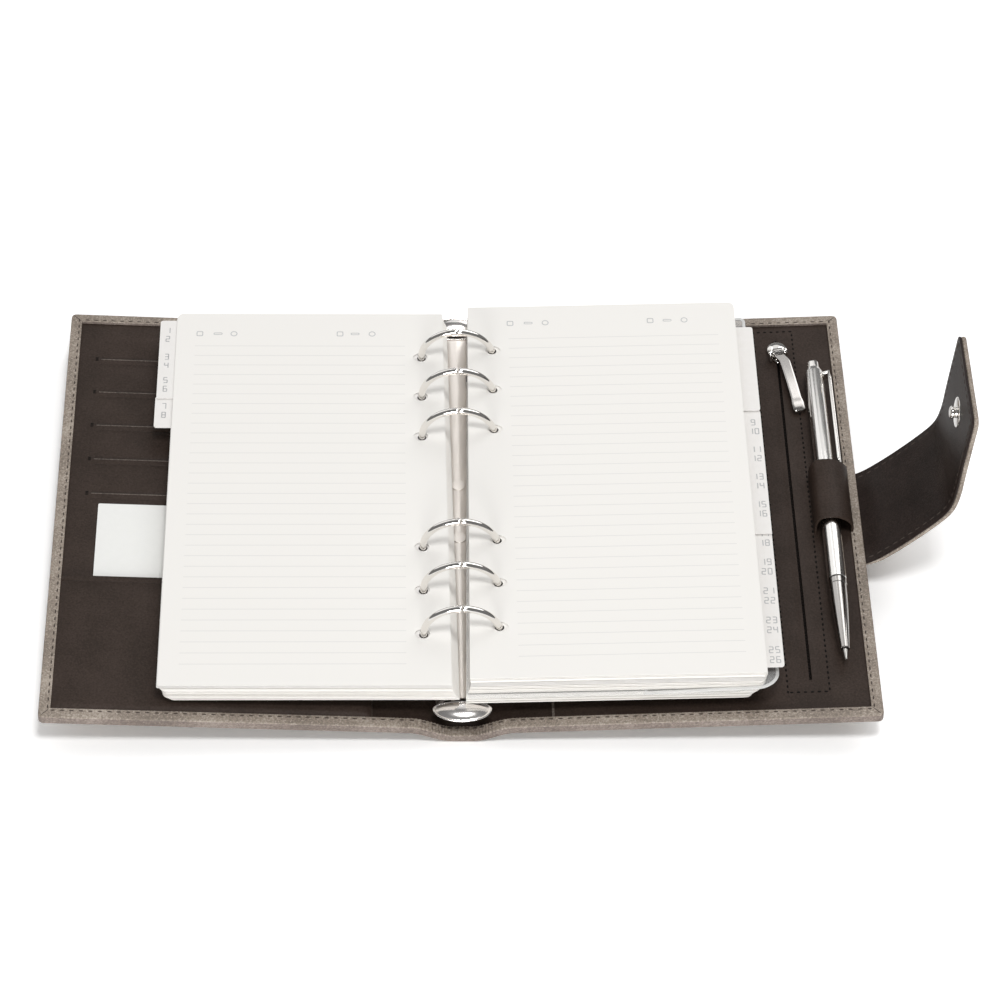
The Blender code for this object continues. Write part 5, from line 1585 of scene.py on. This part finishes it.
def soft_corners(corners, steps=4):
    """Round the corners of an outline; each corner is (x, y, radius)."""
    outline = []
    for i, (x, y, radius) in enumerate(corners):
        here = Vector((x, y))
        if not radius:
            outline.append((x, y))
            continue
        back = (Vector(corners[i - 1][:2]) - here).normalized()
        on = (Vector(corners[(i + 1) % len(corners)][:2]) - here).normalized()
        centre = here + (back + on) * radius
        for k in range(steps + 1):
            a = pi / 2 * k / steps
            outline.append(tuple(centre - on * radius * cos(a) - back * radius * sin(a)))
    return outline


def hole_middle(z):
    return sqrt(HOLE_RUN ** 2 - (RING_CENTRE_Z - z) ** 2)


def punch(z, play):
    """Reach of holes that clear the sloping wire at height z: start, end and half width."""
    slope = sqrt(RING_R ** 2 - (RING_CENTRE_Z - z) ** 2) / RING_R
    long = (WIRE / 2 + play) / slope
    middle = RING_R * slope if play == CLOSE else hole_middle(z)
    return middle - long, middle + long, WIRE / 2 + 0.65 * play


def sheet(side, z, thick, slack=0.0, shift=0.0, tab=None, near=-PAGE_HALF, corner=PAGE_CORNER,
          play=ROOMY):
    """A sheet with its top at z, its fore edge slack wider; tab: (from far end, length, ends)."""
    edge = hole_middle(z) - HOLE_EDGE
    inner_near = max(edge - SKEW[side][0], FOOT[side][0])
    inner_far = max(edge - SKEW[side][1], FOOT[side][1])
    outer = edge + PAGE_WIDE + slack
    low = near + shift
    far = PAGE_HALF + shift
    corners = [(inner_near, low, 0.0), (outer, low, corner)]
    if tab:
        tab_far = PAGE_HALF - tab[0]
        tab_near = tab_far - tab[1]
        reach = outer + TAB_REACH
        near_round, far_round = tab[2]
        corners += [(outer, tab_near, 0.0), (reach, tab_near, near_round * TAB_CORNER)]
        corners += [(reach, tab_far, far_round * TAB_CORNER), (outer, tab_far, 0.0)]
    corners += [(outer, far, PAGE_CORNER), (inner_far, far, 0.0)]
    outline = soft_corners(corners)
    start, end, wide = punch(z, play)
    holes = []
    if start > max(inner_near, inner_far) + 0.6:
        turns = [2 * pi * k / 20 for k in range(20)]
        holes = [[((start + end) / 2 + (end - start) / 2 * cos(a), y + wide * sin(a))
                  for a in turns] for y in RING_YS]
    else:
        for y in sorted(RING_YS, reverse=True):
            inner = inner_near + (inner_far - inner_near) * (y - low) / (far - low)
            notch = arc((end - wide, y), wide, pi / 2, -pi / 2, 10)
            outline += [(inner, y + wide)] + notch + [(inner, y - wide)]
    bm = cut_sheet(outline, holes, z - thick, z)
    tilt = tan(RIGHT_TILT) if side > 0 else 0.0
    move(bm, lambda x, y, height: Vector((side * x, y, height + x * tilt)))
    return bm


print("sheets of", PAGE_WIDE, "by", 2 * PAGE_HALF, "mm")


# %% [markdown]
# ## The two stacks
# A stack made as one block looks like a brick, so the stacks are many thin sheets, each pushed
# a little out of line with the others. Dividers with tabs lie among them, and the loose leaf on
# the left is a piece of its own, because it turns.

# %% Lay the stacks
def stack(side, top, bottom, pitch, corner=PAGE_CORNER, first=ROOMY):
    """Loose sheets from top to bottom, each a little out of line."""
    sheets = []
    z = top
    while z - pitch * 0.7 > bottom:
        play = ROOMY if sheets else first
        slack = dice.uniform(-0.5, 0.2)
        shift = dice.uniform(-0.35, 0.3)
        sheets.append(sheet(side, z, pitch * 0.72, slack, shift, corner=corner, play=play))
        z -= pitch
    return gather(sheets)


LEFT_TOP = 21.4
RIGHT_TOP = 24.7
LEAF = 0.25
DIVIDER = 0.3
SQUARE = 0.6                               # corner of the sheets that show
PAGE_PITCH = 0.42
LEFT_INDEX_TOP = (20.85, 20.25)
left_leaf = sheet(-1, LEFT_TOP, LEAF, corner=SQUARE, play=SNUG)
piece("left_leaf", left_leaf, RULED, "turning_leaf", ("turning_leaf",))
for number, slack, tab, play in ((1, 0.0, (3.0, 38.0, (0, 1)), CLOSE),
                                 (2, 0.4, (40.2, 14.3, (1, 0)), ROOMY)):
    top = LEFT_INDEX_TOP[number - 1]
    divider = sheet(-1, top, DIVIDER, slack, tab=tab, corner=SQUARE, play=play)
    piece(f"left_divider_{number}", divider, INDEX_STOCK, "left_pages",
          (f"left_index_{number}",))
LEFT_STACK = (19.65, 13.3)                 # top and bottom
left_sheets = stack(-1, *LEFT_STACK, PAGE_PITCH)
piece("left_sheets", left_sheets, PAPER, "left_pages", ("left_page_block",))

UPPER_STACK = (RIGHT_TOP - 0.4, 22.3)
WORD_TOP = 22.0
WORD_TAB = (10.0, 40.8, (1, 1))
right_top = sheet(1, RIGHT_TOP, LEAF, corner=SQUARE, play=SNUG)
piece("right_top_sheet", right_top, RULED, "right_pages", ("right_upper_pages",))
right_upper = stack(1, *UPPER_STACK, PAGE_PITCH, 1.0, CLOSE)
piece("right_upper_sheets", right_upper, PAPER, "right_pages")
word_divider = sheet(1, WORD_TOP, DIVIDER, tab=WORD_TAB)
piece("right_word_divider", word_divider, INDEX_STOCK, "right_pages", ("contact_divider",))
RIGHT_INDEX_TOP = (21.4, 20.8)
INDEX_START = 50.2
INDEX_STEP = (2 * PAGE_HALF - INDEX_START - 5.3) / 2
TAB_LAP = 0.8                              # a tab starts this far under the one before it
for number, ends in ((1, (0, 1)), (2, (1, 0))):
    lap = (number - 1) * TAB_LAP
    start = INDEX_START + (number - 1) * INDEX_STEP - lap
    divider = sheet(1, RIGHT_INDEX_TOP[number - 1], DIVIDER, tab=(start, INDEX_STEP + lap, ends))
    piece(f"right_divider_{number}", divider, INDEX_STOCK, "right_pages",
          (f"right_index_{number}",))
for label, top, bottom in (("middle", 20.2, 16.8), ("lower", 15.9, 11.4)):
    sheets = stack(1, top, bottom, PAGE_PITCH)
    piece(f"right_{label}_sheets", sheets, PAPER, "right_pages", (f"right_{label}_pages",))


# %% [markdown]
# ## The clear pouch
# A pouch of clear film lies low in the right stack, and only its free corner shows. It is cut
# as a sheet is, gets a thicker welded rim, and is cut into stations so that its corner can curl
# up.

# %% Weld the pouch
POUCH_Z = 16.5
POUCH_NEAR = -PAGE_HALF - 1.6
POUCH_SLACK = 5.5
POUCH_CORNER = 7.0
WELD = 1.1
CURL = 2.0
CURL_X, CURL_Y = 86.0, -72.0               # the pouch lifts beyond these


def curl(bm):
    """Lift the pouch's free corner."""
    for vert in bm.verts:
        across = ease((vert.co.x - CURL_X) / 16.0)
        vert.co.z += CURL * across * ease((CURL_Y - vert.co.y) / 14.0)
    return bm


pouch = sheet(1, POUCH_Z, LEAF, POUCH_SLACK, near=POUCH_NEAR, corner=POUCH_CORNER)
cut(pouch, 0, stations(80.0, 104.0, 2.0))
cut(pouch, 1, stations(-88.0, -66.0, 2.0))
piece("clear_film_pouch", curl(pouch), CLEAR, "right_pages", ("clear_pouch",))
pouch_edge = hole_middle(POUCH_Z) - HOLE_EDGE + PAGE_WIDE + POUCH_SLACK


def weld_line(inner, inset):
    """The pouch's three outer edges, closed across at inner."""
    low, far, fore = POUCH_NEAR + inset, PAGE_HALF - inset, pouch_edge - inset
    return soft_corners([(inner, low, 0.0), (fore, low, POUCH_CORNER - inset),
                         (fore, far, PAGE_CORNER - inset), (inner, far, 0.0)], 8)


# The welded rim is paler and less clear than the film: partly the real weld, partly a painted
# highlight along the edges.
weld = cut_sheet(weld_line(60.0, 0.0), [weld_line(61.0, WELD)], POUCH_Z - 0.3, POUCH_Z + 0.12)
soften(weld, 0.1, 2)
move(weld, lambda x, y, height: Vector((x, y, height + x * tan(RIGHT_TILT))))
piece("clear_film_weld", curl(weld), CLEAR_WELD_HIGHLIGHT, "right_pages")


# %% [markdown]
# ## Print on the tabs and headings
# The dividers are numbered with plain figures built from seven bars, and the page headings get
# tiny rings, squares and dashes. They are thin raised shapes rather than a picture, so they
# stay crisp.

# %% Print the marks
BARS = {"a": (0, 1, 1), "b": (0.5, 0.5, 0), "c": (0.5, -0.5, 0), "d": (0, -1, 1),
        "e": (-0.5, -0.5, 0), "f": (-0.5, 0.5, 0), "g": (0, 0, 1)}   # across, up, lies level
FIGURES = ("abcdef", "bc", "abged", "abgcd", "fgbc", "afgcd", "afgedc", "abc", "abcdefg", "abcdfg")
INK_THICK = 0.04


def print_number(bm, number, x, y, height, tall=2.5):
    """Print a whole number, centred at a place, on a sheet whose height depends on x."""
    wide = tall * 0.5
    text = str(number)
    for i, letter in enumerate(text):
        middle = x + (i - (len(text) - 1) / 2) * wide * 1.7
        for stroke in FIGURES[int(letter)]:
            bx, by, level = BARS[stroke]
            bold = tall * 0.15
            size = (wide, bold, INK_THICK) if level else (bold, tall * 0.5, INK_THICK)
            mark_x = middle + bx * wide
            spot = Vector((mark_x, y + by * tall / 2, height(mark_x) + INK_THICK / 4))
            bar = Matrix.Translation(spot) @ Matrix.Diagonal((*size, 1.0))
            bmesh.ops.create_cube(bm, size=1.0, matrix=bar)


def right_height(top, x):
    return top + x * tan(RIGHT_TILT)


TABS = 103.4                               # middle of the figures
PAIR = (2.1, -2.1)
LEFT_YS = (75.0, 62.0, 50.6, 38.6)
LEFT_SECOND = 44.5                         # figures nearer than this are on the second divider
RIGHT_FIRST, RIGHT_STEP = 27.0, 12.7
left_numbers = bmesh.new()
number = 1
for y in LEFT_YS:
    top = LEFT_INDEX_TOP[0 if y > LEFT_SECOND else 1]
    for shift in PAIR:
        print_number(left_numbers, number, -TABS, y + shift, lambda x: top)
        number += 1
piece("left_tab_numbers", left_numbers, INK, "left_pages")
right_numbers = bmesh.new()
for i in range(9):
    y = RIGHT_FIRST - i * RIGHT_STEP
    top = RIGHT_INDEX_TOP[0 if y > PAGE_HALF - INDEX_START - INDEX_STEP else 1]
    for shift in PAIR:
        print_number(right_numbers, number, TABS, y + shift, partial(right_height, top))
        number += 1
piece("right_tab_numbers", right_numbers, INK, "right_pages")


def ring_line(radius):
    return arc((0, 0), radius, 0.0, 2 * pi * 23 / 24, 23)


MARKS = ((rounded(-1.2, -1.2, 1.2, 1.2, 0.5, 3), rounded(-0.85, -0.85, 0.85, 0.85, 0.3, 3)),
         (rounded(-1.6, -0.55, 1.6, 0.55, 0.5, 3), rounded(-1.3, -0.25, 1.3, 0.25, 0.2, 3)),
         (ring_line(1.25), ring_line(0.9)))


def heading(xs, y, height):
    """A square, a dash and a ring, over and over, at the head of a page."""
    parts = []
    for i, x in enumerate(xs):
        outline, hole = MARKS[i % 3]
        mark = cut_sheet(outline, [hole], 0.0, INK_THICK)
        nudge(mark, x, y, height(x) + 0.01)
        parts.append(mark)
    return gather(parts)


LEFT_MARKS = (-92.0, -85.5, -79.8, -41.8, -36.4, -30.3)
RIGHT_MARKS = (19.2, 25.7, 31.8, 69.5, 75.6, 81.7)
LEFT_HEAD, RIGHT_HEAD = 75.0, 76.6
left_marks = heading(LEFT_MARKS, LEFT_HEAD, lambda x: LEFT_TOP)
piece("left_heading_marks", left_marks, PALE_INK, "turning_leaf")
right_marks = heading(RIGHT_MARKS, RIGHT_HEAD, partial(right_height, RIGHT_TOP))
piece("right_heading_marks", right_marks, PALE_INK, "right_pages")


# %% [markdown]
# ## What stays hidden
# The boards inside the leather and the two hinge plates under the rail are hardly seen, so the
# solids stay as they are and only get a finish.

# %% Finish the hidden solids
HIDDEN = {"spine_board": BOARD_CARD, "front_board": BOARD_CARD, "back_board": BOARD_CARD,
          "left_hinge_plate": STEEL, "right_hinge_plate": STEEL}
for name, finish in HIDDEN.items():
    data = frame["nodes"][name].data
    data.materials.clear()
    data.materials.append(finish)
    print(name, finish.name)


# %% [markdown]
# ## Close the lesson
# Any solid that is still without a finish is printed as bare.

# %% List the bare solids
for name, node in frame["nodes"].items():
    if not node.data.materials:
        print("bare", name)
